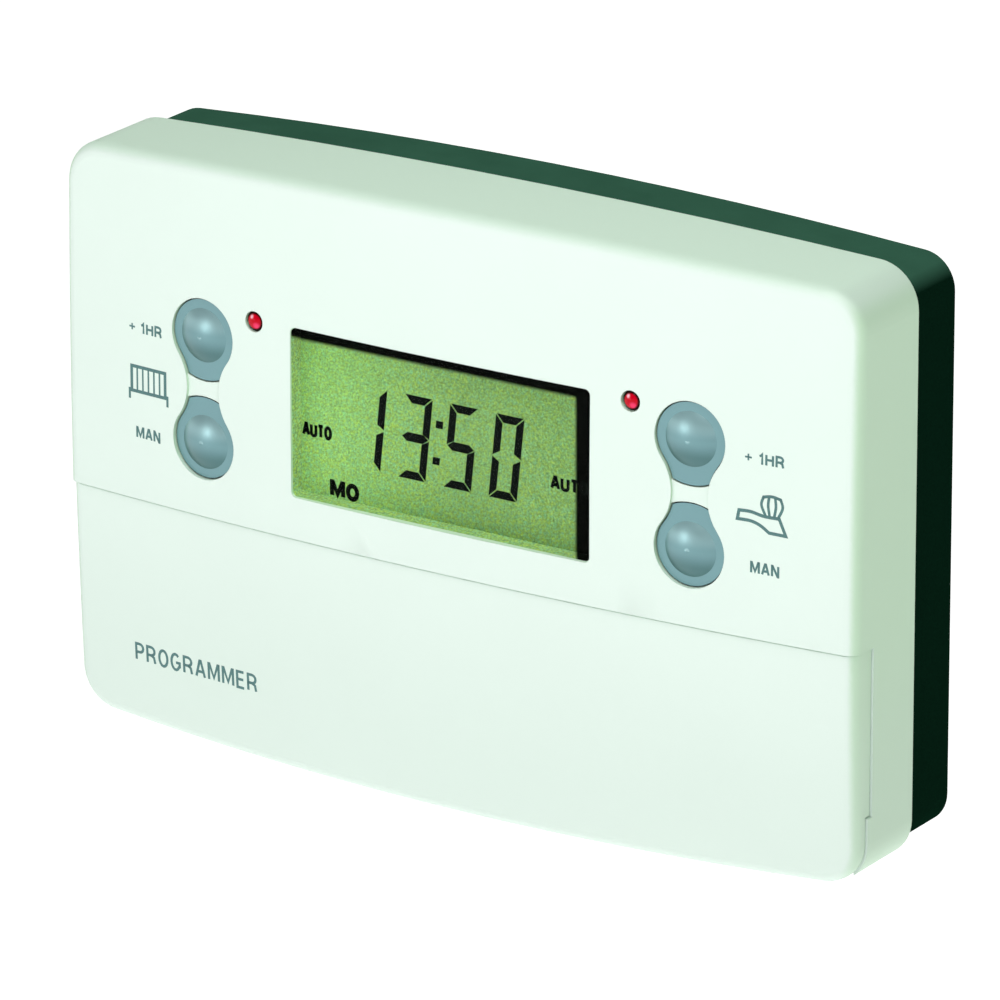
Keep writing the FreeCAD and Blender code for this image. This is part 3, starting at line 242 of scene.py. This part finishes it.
def film(shader):
    """Green grain that drifts between warm and cool, with painted shade
    along the window's top and right.

    The painted shade leans inwards with depth behind the window, so it meets the edges of the
    lens.
    """
    grain = shader.noise(0.3 * MM, 4, 0.75)
    warm = shader.noise(0.42 * MM, 2, 0.6)
    slow = shader.noise(16 * MM, 2)
    tinted = shader.blend(shader.spread(warm, 0, 1, 0.38, 0.62), (0.36, 0.76, 0.44),
                          (0.62, 0.82, 0.15))
    drifted = shader.blend(shader.spread(slow, 0, 0.4, 0.3, 0.7), tinted, REFLECTOR_GREEN)
    grainy = shader.blend(shader.spread(grain, 0, 1, 0.36, 0.60), scaled(REFLECTOR_GREEN, 0.42),
                          drifted)
    deep = shader.maths("ADD", shader.coordinate("Y"), WINDOW_FRONT)
    # Painted shade masks: 1 where the film is clear of the painted shade, falling to 0 inside it.
    painted_lighting = [shader.spread(shader.maths("ADD", shader.coordinate(axis),
                                      shader.maths("MULTIPLY", deep, slant)),
                         1, 0, start, start + SHADE_SOFT, True)
           for axis, slant, start in (("X", SLANT_RIGHT, SHADE_RIGHT),
                                      ("Z", SLANT_TOP, SHADE_TOP))]
    # Painted shade: near black where the masks fall off.
    return shader.blend(shader.maths("MULTIPLY", *painted_lighting), (0.001, 0.0015, 0.001), grainy)


def reflector_material():
    """Grainy green film with painted shade, and a faint emission that is painted light,
    full at the left and half from just right of the middle onwards.
    """
    shader = Shader("display_reflector", REFLECTOR_GREEN, 0.6, Specular_IOR_Level=0.02,
                    Emission_Strength=0.34)
    green = film(shader)
    shader.colour(green)
    # Painted light: the film emits its own colour at strength 0.34, full at the left and half
    # towards the right.
    leftward = shader.spread(shader.coordinate("X"), 1, 0, -26 * MM, 4 * MM, True)
    painted_film_glow = shader.blend(shader.spread(leftward, 0.5, 0, 0, 1), green, (0, 0, 0))
    shader.link(painted_film_glow, shader.surface.inputs["Emission Color"])
    return shader.material


lamp_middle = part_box("water_lamp")[0].lerp(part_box("water_lamp")[1], 0.5)
LAMP_ACROSS, LAMP_UP = lamp_middle.x, lamp_middle.z


def lamp_material():
    """Tinted clear plastic with painted light and shade: its outer edge painted dark,
    a painted pink light low on its right and a painted highlight high on its left.
    """
    red = (0.58, 0.0, 0.012)
    shader = Shader("lamp_red", red, 0.12, Specular_IOR_Level=0.06, Coat_Weight=0.12,
                    Coat_Roughness=0.05)
    across = shader.coordinate("X")
    side = shader.maths("MULTIPLY", shader.maths("SIGN", across, 0), LAMP_ACROSS)
    x = shader.maths("SUBTRACT", across, side)
    z = shader.maths("SUBTRACT", shader.coordinate("Z"), LAMP_UP)

    def reach(right, up):
        square = shader.maths("ADD", shader.maths("POWER", shader.maths("SUBTRACT", x, right), 2),
                              shader.maths("POWER", shader.maths("SUBTRACT", z, up), 2))
        return shader.maths("SQRT", square, 0)

    cloud = shader.noise(0.7 * MM, 2)
    body = shader.blend(cloud, scaled(red, 0.8), (0.72, 0.002, 0.02))
    # Painted light: a pink patch low on the right, and a near-white painted highlight high on the
    # left.
    painted_glow = shader.spread(reach(0.45 * MM, -0.6 * MM), 1, 0, 0.15 * MM, 0.75 * MM, True)
    painted_highlight = shader.spread(reach(-0.35 * MM, 0.72 * MM), 1, 0, 0.05 * MM, 0.42 * MM, True)
    painted_lighting = shader.blend(painted_highlight, shader.blend(painted_glow, body, (0.95, 0.05, 0.16)), (1.0, 0.55, 0.66))
    # Painted shade: the outer edge turns near black.
    painted_rim_shade = shader.spread(reach(0, 0), 0, 1, 0.95 * MM, 1.22 * MM, True)
    shader.colour(shader.blend(painted_rim_shade, painted_lighting, (0.02, 0.0, 0.001)))
    return shader.material


def key_material():
    """Satin teal-grey moulding with painted light and shade: lighter where it turns upwards,
    deeper where it turns downwards and near black down its side faces.
    """
    base = (0.165, 0.328, 0.352)
    shader = Shader("key_grey", base, 0.36, Metallic=0.55, Coat_Weight=0.5, Coat_Roughness=0.35)
    slow, fine = shader.noise(9 * MM, 3), shader.noise(0.35 * MM, 3, 0.6)
    plain = shader.blend(slow, scaled(base, 0.95), scaled(base, 1.05))
    up = shader.normal("Z")
    # Painted light on faces that turn upwards, and painted shade on faces that turn downwards.
    painted_top_light = shader.blend(shader.spread(up, 0, 1, 0.02, 0.3, True), plain, (0.32, 0.53, 0.55))
    painted_under_shade = shader.blend(shader.spread(up, 1, 0, -0.34, 0.03, True), painted_top_light, (0.06, 0.165, 0.17))
    # Painted shade: faces that turn away from the front go near black.
    outwards = shader.maths("ABSOLUTE", shader.normal("Y"), 0)
    shader.colour(shader.blend(shader.spread(outwards, 1, 0, 0.3, 0.6), painted_under_shade,
                               (0.004, 0.014, 0.012)))
    shader.roughness(shader.spread(fine, 0.33, 0.40, 0.3, 0.7))
    shader.bump(fine, 0.003 * MM)
    return shader.material


def cream_material():
    """Mint-white moulding with painted shade: a little greener and deeper on its side faces,
    on top and low down.
    """
    base = (0.80, 0.93, 0.85)
    shader = Shader("cream_plastic", base, 0.45)
    slow = shader.noise(22 * MM, 3)
    fine = shader.noise(0.28 * MM, 3, 0.6)
    tone = shader.maths("ADD", shader.spread(slow, 0, 0.7, 0.3, 0.7),
                        shader.spread(fine, 0, 0.3, 0.3, 0.7))
    plain = shader.blend(tone, scaled(base, 0.988), scaled(base, 1.012))
    # Painted shade on faces that turn sideways and on faces that turn upwards.
    sideways = shader.maths("ABSOLUTE", shader.normal("X"), 0)
    painted_side_shade = shader.blend(shader.spread(sideways, 0, 1, 0.3, 0.85, True), plain,
                         (0.575, 0.80, 0.58))
    painted_top_shade = shader.blend(shader.spread(shader.normal("Z"), 0, 1, 0.3, 0.85, True), painted_side_shade,
                          (0.72, 0.91, 0.76))
    # Painted shade: the colour deepens towards the bottom, from none at the middle to a 0.3 share
    # 38 mm below it.
    painted_low_shade = shader.spread(shader.coordinate("Z"), 0.3, 0, -38 * MM, 0, True)
    shader.colour(shader.blend(painted_low_shade, painted_top_shade, (0.62, 0.75, 0.66)))
    shader.roughness(shader.spread(fine, 0.40, 0.52, 0.3, 0.7))
    shader.bump(fine, 0.004 * MM, 0.18 * MM)
    return shader.material


def dark_material():
    """Dark green moulding with a painted sheen on its upward faces, lighter and greener in
    patches.
    """
    # The second colour is the painted sheen on upward faces.
    base, painted_sheen_colour = (0.0024, 0.015, 0.0075), (0.042, 0.130, 0.083)
    shader = Shader("dark_plastic", base, 0.5, Specular_IOR_Level=0.0)
    fine = shader.noise(0.28 * MM, 3, 0.6)
    cloud = shader.noise(12 * MM, 3)
    # Painted sheen that stands in for light on upward faces, broken into patches by slow noise.
    painted_top_sheen = shader.maths("MULTIPLY", shader.spread(shader.normal("Z"), 0, 1, 0.4, 0.8),
                        shader.spread(cloud, 0.85, 1, 0.35, 0.65))
    worn = shader.blend(shader.spread(fine, 0, 1, 0.3, 0.7), scaled(base, 0.8), scaled(base, 1.2))
    shader.colour(shader.blend(painted_top_sheen, worn, painted_sheen_colour))
    shader.roughness(shader.spread(fine, 0.45, 0.57, 0.3, 0.7))
    shader.bump(fine, 0.008 * MM, 0.12 * MM)
    return shader.material


def board_material():
    """Solder resist over copper tracks, with the weave of the laminate showing through."""
    green = (0.012, 0.12, 0.05)
    shader = Shader("circuit_board", green, 0.32, Coat_Weight=0.4, Coat_Roughness=0.15)
    weave = shader.cells(0.6 * MM)
    tracks = shader.add("ShaderNodeTexBrick", offset=0.5)
    tracks.inputs["Scale"].default_value = 160
    tracks.inputs["Mortar Size"].default_value = 0.09
    tracks.inputs["Mortar Smooth"].default_value = 0.1
    swap = shader.add("ShaderNodeCombineXYZ")
    shader.link(shader.coordinate("X"), swap.inputs[0])
    shader.link(shader.coordinate("Z"), swap.inputs[1])
    shader.link(swap.outputs[0], tracks.inputs["Vector"])
    base = shader.blend(shader.spread(weave, 0, 1, 0, 0.6), scaled(green, 0.8), scaled(green, 1.3))
    shader.colour(shader.blend(tracks.outputs["Fac"], base, (0.03, 0.23, 0.09)))
    shader.bump(tracks.outputs["Fac"], 0.02 * MM)
    return shader.material


def ink(name, colour, roughness=0.5, gloss=0.5):
    """Printed ink with slightly uneven cover."""
    shader = Shader(name, colour, roughness, Specular_IOR_Level=gloss)
    cover = shader.noise(0.35 * MM, 3, 0.7)
    shader.colour(shader.blend(shader.spread(cover, 0, 1, 0.3, 0.7), scaled(colour, 0.85),
                               scaled(colour, 1.2)))
    shader.roughness(shader.spread(cover, roughness - 0.1, roughness + 0.15, 0.3, 0.7))
    return shader.material


MATERIALS = {
    "cream_plastic": cream_material(),
    "dark_plastic": dark_material(),
    "key_grey": key_material(),
    "plunger_white": moulded("plunger_white", (0.78, 0.78, 0.74), 0.4),
    "white_plastic": moulded("white_plastic", (0.80, 0.80, 0.77), 0.4),
    "black_plastic": moulded("black_plastic", (0.012, 0.012, 0.013), 0.45, drift=0.15),
    # The lens's inner side faces carry the painted reflection of the display film.
    "clear_plastic": glassy("clear_plastic", (0.99, 0.998, 0.99), 1.1, 0.02, True),
    "display_glass": glassy("display_glass", (0.99, 0.998, 0.99), 1.02, 0.03),
    "display_reflector": reflector_material(),
    "silicone": moulded("silicone", (0.05, 0.05, 0.055), 0.6, grain=0.1 * MM),
    "lamp_red": lamp_material(),
    "circuit_board": board_material(),
    "steel": metal("steel", (0.62, 0.63, 0.64), 0.32),
    "relay_blue": moulded("relay_blue", (0.02, 0.10, 0.36), 0.3),
    "capacitor_yellow": moulded("capacitor_yellow", (0.78, 0.55, 0.05), 0.35),
    "varistor_blue": moulded("varistor_blue", (0.03, 0.14, 0.45), 0.25),
    "capacitor_black": moulded("capacitor_black", (0.02, 0.02, 0.03), 0.25),
    "resistor_green": moulded("resistor_green", (0.12, 0.28, 0.16), 0.6),
    "terminal_grey": moulded("terminal_grey", (0.42, 0.45, 0.44), 0.5),
    "brass": metal("brass", (0.75, 0.56, 0.24), 0.3),
    "tinned_bronze": metal("tinned_bronze", (0.68, 0.67, 0.64), 0.35),
}
INK_GREY = ink("ink_grey", (0.075, 0.19, 0.185))
DISPLAY_BLACK = ink("display_black", (0.003, 0.005, 0.004), 0.35, 0.02)

for name, node in nodes.items():
    for place in node.material_slots:
        place.material = MATERIALS[slot_of[name]]
    if slot_of[name] in ("clear_plastic", "display_glass"):
        node.visible_shadow = False
        node.visible_diffuse = False


# ---------------------------------------------------------------- surfaces to print on
class Front:
    """Finds how far out from the wall a node's front face is at a place on it."""

    def __init__(self, *names):
        self.trees = []
        for name in names:
            mesh = nodes[name].data
            self.trees.append(BVHTree.FromPolygons([v.co for v in mesh.vertices],
                                                   [p.vertices for p in mesh.polygons]))

    def __call__(self, x, z):
        hits = [tree.ray_cast(Vector((x, -1, z)), Vector((0, 1, 0)))[0] for tree in self.trees]
        return min(hit.y for hit in hits if hit)


def level(depth):
    """A flat face at that distance from the wall."""
    return lambda x, z: -depth


# ---------------------------------------------------------------- printed pieces
def finish_piece(name, form, material, body):
    """Turns a bmesh into a piece that rides on a body."""
    bmesh.ops.remove_doubles(form, verts=form.verts, dist=1e-7)
    bmesh.ops.recalc_face_normals(form, faces=form.faces)
    mesh = bpy.data.meshes.new(name)
    form.to_mesh(mesh)
    form.free()
    mesh.materials.append(material)
    piece = bpy.data.objects.new(name, mesh)
    bpy.context.scene.collection.objects.link(piece)
    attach(piece, body)
    return piece


INK_THICK = 0.03 * MM
INK_SUNK = 0.01 * MM


def slab(form, outline, face):
    """Adds a thin plate with that outline, given as (x, z) points, lying on a face."""
    front, back = [[form.verts.new((x, face(x, z) - lift, z)) for x, z in outline]
                   for lift in (INK_THICK - INK_SUNK, -INK_SUNK)]
    form.faces.new(front)
    form.faces.new(list(reversed(back)))
    for index in range(len(outline)):
        form.faces.new((front[index - 1], front[index], back[index], back[index - 1]))


def ribbon(form, left, right, closed, face):
    """Adds a thin strip between two rows of (x, z) points, lying on a face."""
    top_left, top_right, low_left, low_right = [
        [form.verts.new((x, face(x, z) - lift, z)) for x, z in row]
        for lift in (INK_THICK - INK_SUNK, -INK_SUNK) for row in (left, right)]
    count = len(left)
    for index in range(count if closed else count - 1):
        after = (index + 1) % count
        for first, second in ((top_left, top_right), (top_right, low_right),
                              (low_right, low_left), (low_left, top_left)):
            form.faces.new((first[index], first[after], second[after], second[index]))
    if not closed:
        for index in (0, count - 1):
            form.faces.new((top_left[index], top_right[index], low_right[index], low_left[index]))


def smooth_line(points, steps=6):
    """Catmull-Rom line through a few points."""
    ends = [Vector(points[0]) * 2 - Vector(points[1]), Vector(points[-1]) * 2 - Vector(points[-2])]
    route = [ends[0], *[Vector(point) for point in points], ends[1]]
    line = []
    for before, start, end, after in zip(route, route[1:], route[2:], route[3:]):
        for step in range(steps):
            t = step / steps
            line.append(0.5 * (2 * start + (end - before) * t
                               + (2 * before - 5 * start + 4 * end - after) * t ** 2
                               + (3 * start - before - 3 * end + after) * t ** 3))
    return [*line, route[-2]]


def stroke(form, points, width, face, closed=False):
    """Adds a flat line of even width through (x, z) points in millimetres, mitred at its bends."""
    line = [Vector(point) * MM for point in points]
    half = width * MM / 2
    left, right = [], []
    for index, point in enumerate(line):
        ways = []
        if index or closed:
            ways.append((point - line[index - 1]).normalized())
        if index < len(line) - 1 or closed:
            ways.append((line[(index + 1) % len(line)] - point).normalized())
        normals = [Vector((-way.y, way.x)) for way in ways]
        middle = sum(normals, Vector((0, 0))).normalized()
        reach = half / max(middle.dot(normals[0]), 0.5)
        left.append(point + middle * reach)
        right.append(point - middle * reach)
    ribbon(form, left, right, closed, face)


def bow(across, up, wide, high, start, end):
    """Points along part of an ellipse, from one angle to another in degrees."""
    steps = max(2, round(abs(end - start) / 22.5))
    turns = [math.radians(start + (end - start) * step / steps) for step in range(steps + 1)]
    return [(across + wide * math.cos(turn), up + high * math.sin(turn)) for turn in turns]


# Condensed capitals one unit high: each has its width and the lines that its pen draws.
GLYPHS = {
    "A": (0.60, [[(0, 0), (0.26, 1), (0.34, 1), (0.60, 0)], [(0.10, 0.32), (0.50, 0.32)]]),
    "C": (0.56, [bow(0.28, 0.5, 0.28, 0.5, 45, 315)]),
    "D": (0.56, [[(0, 0), (0, 1), *bow(0.24, 0.5, 0.32, 0.5, 90, -90), (0, 0)]]),
    "E": (0.46, [[(0.46, 1), (0, 1), (0, 0), (0.46, 0)], [(0, 0.52), (0.42, 0.52)]]),
    "G": (0.60, [[*bow(0.29, 0.5, 0.29, 0.5, 45, 325), (0.58, 0.24), (0.58, 0.47), (0.32, 0.47)]]),
    "H": (0.54, [[(0, 0), (0, 1)], [(0.54, 0), (0.54, 1)], [(0, 0.53), (0.54, 0.53)]]),
    "L": (0.44, [[(0, 1), (0, 0), (0.44, 0)]]),
    "M": (0.70, [[(0, 0), (0, 1), (0.06, 1), (0.35, 0.15), (0.64, 1), (0.70, 1), (0.70, 0)]]),
    "N": (0.56, [[(0, 0), (0, 1), (0.05, 1), (0.51, 0), (0.56, 0), (0.56, 1)]]),
    "O": (0.58, [bow(0.29, 0.5, 0.29, 0.5, 90, 450)]),
    "P": (0.50, [[(0, 0), (0, 1), *bow(0.26, 0.74, 0.24, 0.26, 90, -90), (0, 0.48)]]),
    "R": (0.56, [[(0, 0), (0, 1), *bow(0.28, 0.74, 0.24, 0.26, 90, -90), (0, 0.48)],
                 [(0.28, 0.48), (0.47, 0.36), (0.54, 0)]]),
    "S": (0.52, [[*bow(0.26, 0.745, 0.25, 0.255, 30, 250),
                  *bow(0.26, 0.25, 0.26, 0.25, 70, -150)]]),
    "T": (0.52, [[(0, 1), (0.52, 1)], [(0.26, 1), (0.26, 0)]]),
    "U": (0.54, [[(0, 1), *bow(0.27, 0.27, 0.27, 0.27, 180, 360), (0.54, 1)]]),
    "X": (0.56, [[(0, 0), (0.56, 1)], [(0, 1), (0.56, 0)]]),
    "Y": (0.56, [[(0, 1), (0.28, 0.46), (0.56, 1)], [(0.28, 0.46), (0.28, 0)]]),
    "1": (0.26, [[(0, 0.79), (0.12, 0.83), (0.22, 1), (0.22, 0)]]),
    "+": (0.56, [[(0, 0.5), (0.56, 0.5)], [(0.28, 0.2), (0.28, 0.8)]]),
    "-": (0.56, [[(0, 0.5), (0.56, 0.5)]]),
}
LETTER_GAP = 0.3


def lettering(form, words, box, pen, face):
    """Adds words that fill a box (left, bottom, width, height), drawn with a pen on a face."""
    left, bottom, width, height = box
    natural = sum(GLYPHS[letter][0] for letter in words) + LETTER_GAP * (len(words) - 1)
    wide, high = (width - pen) / natural, height - pen
    at = left + pen / 2
    for letter in words:
        glyph_width, lines = GLYPHS[letter]
        for line in lines:
            closed = (Vector(line[0]) - Vector(line[-1])).length < 1e-6
            route = line[:-1] if closed else line
            points = [(at + x * wide, bottom + pen / 2 + z * high) for x, z in route]
            stroke(form, points, pen, face, closed)
        at += (glyph_width + LETTER_GAP) * wide


def printed(name, draw, face, material=INK_GREY, body="module"):
    form = bmesh.new()
    draw(form, face)
    return finish_piece(name, form, material, body)


cover_face = Front("front_cover")
flap_face = Front("flap")


def radiator(form, face):
    """Panel radiator: a framed row of bars on two short legs."""
    left, right, bottom, top = -54.8, -48.5, 8.25, 12.0
    bars = 5
    stroke(form, [(left, bottom), (right, bottom), (right, top), (left, top)], 0.5, face, True)
    pitch = (right - left) / (bars + 1)
    for index in range(bars):
        x = left + (index + 1) * pitch
        stroke(form, [(x, bottom), (x, top)], 0.3, face)
    for x, way in ((left, -1), (right, 1)):
        foot = x + 0.4 * way
        stroke(form, [(foot, bottom + 0.35), (foot, 6.95)], 0.4, face)


def tap(form, face):
    """Bib tap seen from the side: curved spout, spreading foot and a ribbed knob."""
    pen = 0.48
    upper = smooth_line([(49.35, 10.25), (51.2, 10.3), (53.2, 9.95), (55.6, 9.95)])
    lower = smooth_line([(49.1, 8.95), (51.2, 8.95), (52.7, 8.5), (54.05, 7.65)])
    stroke(form, [*reversed(lower), *upper, (56.65, 7.6)], pen, face, True)
    middle, foot, head = 54.47, 10.05, 12.9
    for bulge in (-1.65, -0.6, 0.6, 1.65):
        stroke(form, smooth_line([(middle + bulge * 0.6, foot), (middle + bulge, foot + 1.55),
                                  (middle + bulge * 0.78, head)]), pen * 0.85, face)
    stroke(form, smooth_line([(middle - 1.45, head - 0.15), (middle, head + 0.1),
                              (middle + 1.45, head - 0.15)]), pen * 0.9, face)


LABEL_HEIGHT = 1.85
LABEL_PEN = 0.34
printed("print_radiator", radiator, cover_face)
printed("print_tap", tap, cover_face)
for side, plus_left, boost_left, boost_up, manual_left, manual_up in (
        ("heating", -55.25, -53.05, 17.05, -54.1, 1.05),
        ("water", 50.05, 52.25, 17.25, 51.15, 1.25)):
    def boost(form, face):
        lettering(form, "+", (plus_left, boost_up, 1.3, LABEL_HEIGHT), LABEL_PEN * 0.75, face)
        lettering(form, "1HR", (boost_left, boost_up, 4.05, LABEL_HEIGHT), LABEL_PEN, face)

    def manual(form, face):
        lettering(form, "MAN", (manual_left, manual_up, 4.55, LABEL_HEIGHT), LABEL_PEN, face)

    printed(f"print_{side}_boost", boost, cover_face)
    printed(f"print_{side}_manual", manual, cover_face)


def flap_word(form, face):
    lettering(form, "PROGRAMMER", (-56.0, -34.2, 23.0, 2.9), 0.42, face)


printed("print_flap", flap_word, flap_face, body="flap")


SMALL_KEYS = {"programme_key": "PROG", "day_key": "DAY", "copy_key": "COPY", "minus_key": "-",
              "plus_key": "+", "next_key": "NEXT", "select_key": "SELECT", "reset_key": "RESET"}


def small_labels(form, face):
    """Words over the keys that the flap hides."""
    letter_width, height, rise = 1.12, 1.5, 1.9
    for name, words in SMALL_KEYS.items():
        low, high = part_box(name)
        width = letter_width * len(words)
        middle = (low.x + high.x) / 2 / MM
        lettering(form, words, (middle - width / 2, -20.0 + rise, width, height), 0.24, face)


printed("print_small_keys", small_labels, cover_face)


# ---------------------------------------------------------------- display
DIGIT = {"width": 4.78, "height": 12.7, "bar": 1.2, "gap": 0.13, "pitch": 7.8, "lean": 0.109,
         "left": 5.4, "foot": 2.7}
SEGMENTS = {"1": "bc", "3": "abcdg", "5": "acdfg", "0": "abcdef"}


def segment_outline(key):
    """Outline of one of the seven bars of a digit, upright, from its lower left corner."""
    w, h, t, g = (DIGIT[size] for size in ("width", "height", "bar", "gap"))
    m, s = h / 2, t * 0.56
    upper_left = [(0, h - g), (t, h - t - g), (t, m + s + g), (0, m + g)]
    lower_left = [(0, m - g), (t, m - s - g), (t, t + g), (0, g)]
    return {
        "a": [(g, h), (w - g, h), (w - t - g, h - t), (t + g, h - t)],
        "d": [(t + g, t), (w - t - g, t), (w - g, 0), (g, 0)],
        "f": upper_left,
        "e": lower_left,
        "b": [(w - x, z) for x, z in upper_left],
        "c": [(w - x, z) for x, z in lower_left],
        "g": [(g, m), (t * 0.85, m + s), (w - t * 0.85, m + s), (w - g, m), (w - t * 0.85, m - s),
              (t * 0.85, m - s)],
    }[key]


def leaned(left, points):
    return [((left + x + z * DIGIT["lean"]) * MM, (DIGIT["foot"] + z) * MM) for x, z in points]


def clock_digits(form, face):
    for place, figure in enumerate("1350"):
        left = DIGIT["left"] - (3 - place) * DIGIT["pitch"]
        for key in SEGMENTS[figure]:
            slab(form, leaned(left, segment_outline(key)), face)
    colon = DIGIT["left"] - 1.5 * DIGIT["pitch"] + DIGIT["width"] / 2 - 0.6
    for z in (3.0, 8.55):
        slab(form, leaned(colon, [(0, z), (1.2, z), (1.2, z + 1.12), (0, z + 1.12)]), face)


def display_words(form, face):
    lettering(form, "AUTO", (-26.75, 5.8, 5.2, 2.15), 0.5, face)
    lettering(form, "AUTO", (15.9, 5.85, 6.5, 2.15), 0.5, face)
    lettering(form, "MO", (-22.0, -2.7, 5.1, 2.75), 0.72, face)


reflector_front = -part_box("display_reflector")[0].y
display_face = level(reflector_front + 0.02 * MM)
printed("display_digits", clock_digits, display_face, DISPLAY_BLACK)
printed("display_words", display_words, display_face, DISPLAY_BLACK)


# ---------------------------------------------------------------- stage
FLOOR_DROP = 0.055
FLOOR_RADIUS = 6
floor_up = cad_bounds[0].z - FLOOR_DROP


def make_floor():
    form = bmesh.new()
    bmesh.ops.create_circle(form, cap_ends=True, segments=96, radius=FLOOR_RADIUS)
    mesh = bpy.data.meshes.new("floor")
    form.to_mesh(mesh)
    form.free()
    floor = bpy.data.objects.new("floor", mesh)
    floor.location = (0, 0, floor_up)
    bpy.context.scene.collection.objects.link(floor)
    shader = Shader("floor_white", (0.55, 0.55, 0.55), 0.8)
    shader.surface.inputs["Emission Color"].default_value = (1, 1, 1, 1)
    shader.surface.inputs["Emission Strength"].default_value = 0.88
    tone = shader.noise(0.4, 2)
    shader.colour(shader.blend(tone, (0.53, 0.53, 0.53), (0.57, 0.57, 0.57)))
    mesh.materials.append(shader.material)


def aim(thing, target):
    way = Vector(target) - thing.location
    thing.rotation_euler = way.to_track_quat("-Z", "Y").to_euler()


def softbox(name, azimuth, elevation, distance, width, height, power, colour=(1, 1, 1)):
    """Area light aimed at the middle of the case; azimuth 0 is straight in front, + is right."""
    light = bpy.data.lights.new(name, "AREA")
    light.shape = "RECTANGLE"
    light.size, light.size_y = width, height
    light.energy = power
    light.color = colour
    lamp = bpy.data.objects.new(name, light)
    across, up = math.radians(azimuth), math.radians(elevation)
    lamp.location = Vector((math.sin(across) * math.cos(up), -math.cos(across) * math.cos(up),
                            math.sin(up))) * distance
    bpy.context.scene.collection.objects.link(lamp)
    aim(lamp, (0, 0, 0))


def make_world(strength):
    """Dim studio air over a white band that carries the floor on past the horizon."""
    world = bpy.data.worlds.new("studio")
    world.use_nodes = True
    tree = world.node_tree
    background = tree.nodes["Background"]
    background.inputs["Color"].default_value = (1, 1, 1, 1)
    axes = tree.nodes.new("ShaderNodeSeparateXYZ")
    tree.links.new(tree.nodes.new("ShaderNodeTexCoord").outputs["Generated"], axes.inputs[0])
    rise = tree.nodes.new("ShaderNodeMath")
    rise.operation = "ABSOLUTE"
    tree.links.new(axes.outputs["Z"], rise.inputs[0])
    band = tree.nodes.new("ShaderNodeMapRange")
    band.interpolation_type = "SMOOTHSTEP"
    for socket, value in (("From Min", 0.06), ("From Max", 0.13), ("To Min", 1.0),
                          ("To Max", strength)):
        band.inputs[socket].default_value = value
    tree.links.new(rise.outputs[0], band.inputs["Value"])
    tree.links.new(band.outputs["Result"], background.inputs["Strength"])
    bpy.context.scene.world = world


def make_camera():
    """Long lens, from the right and above."""
    azimuth, elevation, roll = math.radians(33.847), math.radians(19.591), math.radians(-0.233)
    distance = 1.187
    target = Vector((0.6, -15.0, -1.8)) * MM
    data = bpy.data.cameras.new("camera")
    data.sensor_width = 36
    data.lens = 298.8
    data.clip_start, data.clip_end = 0.01, 100
    camera = bpy.data.objects.new("camera", data)
    back = Vector((math.sin(azimuth) * math.cos(elevation),
                   -math.cos(azimuth) * math.cos(elevation), math.sin(elevation)))
    camera.location = target + back * distance
    turn = (-back).to_track_quat("-Z", "Y").to_matrix()
    camera.rotation_euler = (turn @ Matrix.Rotation(roll, 3, "Z")).to_euler()
    bpy.context.scene.collection.objects.link(camera)
    bpy.context.scene.camera = camera


make_floor()
softbox("key_light", 45, 28, 0.5, 0.15, 0.15, 0.12)
softbox("front_fill", -28, 4, 0.7, 0.14, 0.14, 0.44)
softbox("upper_light", 20, 60, 0.5, 0.3, 0.3, 1.45)
softbox("back_light", 205, 35, 1.0, 0.7, 0.7, 1.8, (0.8, 1.03, 0.82))
make_world(0.1)
make_camera()
bpy.context.scene.view_settings.view_transform = "Standard"
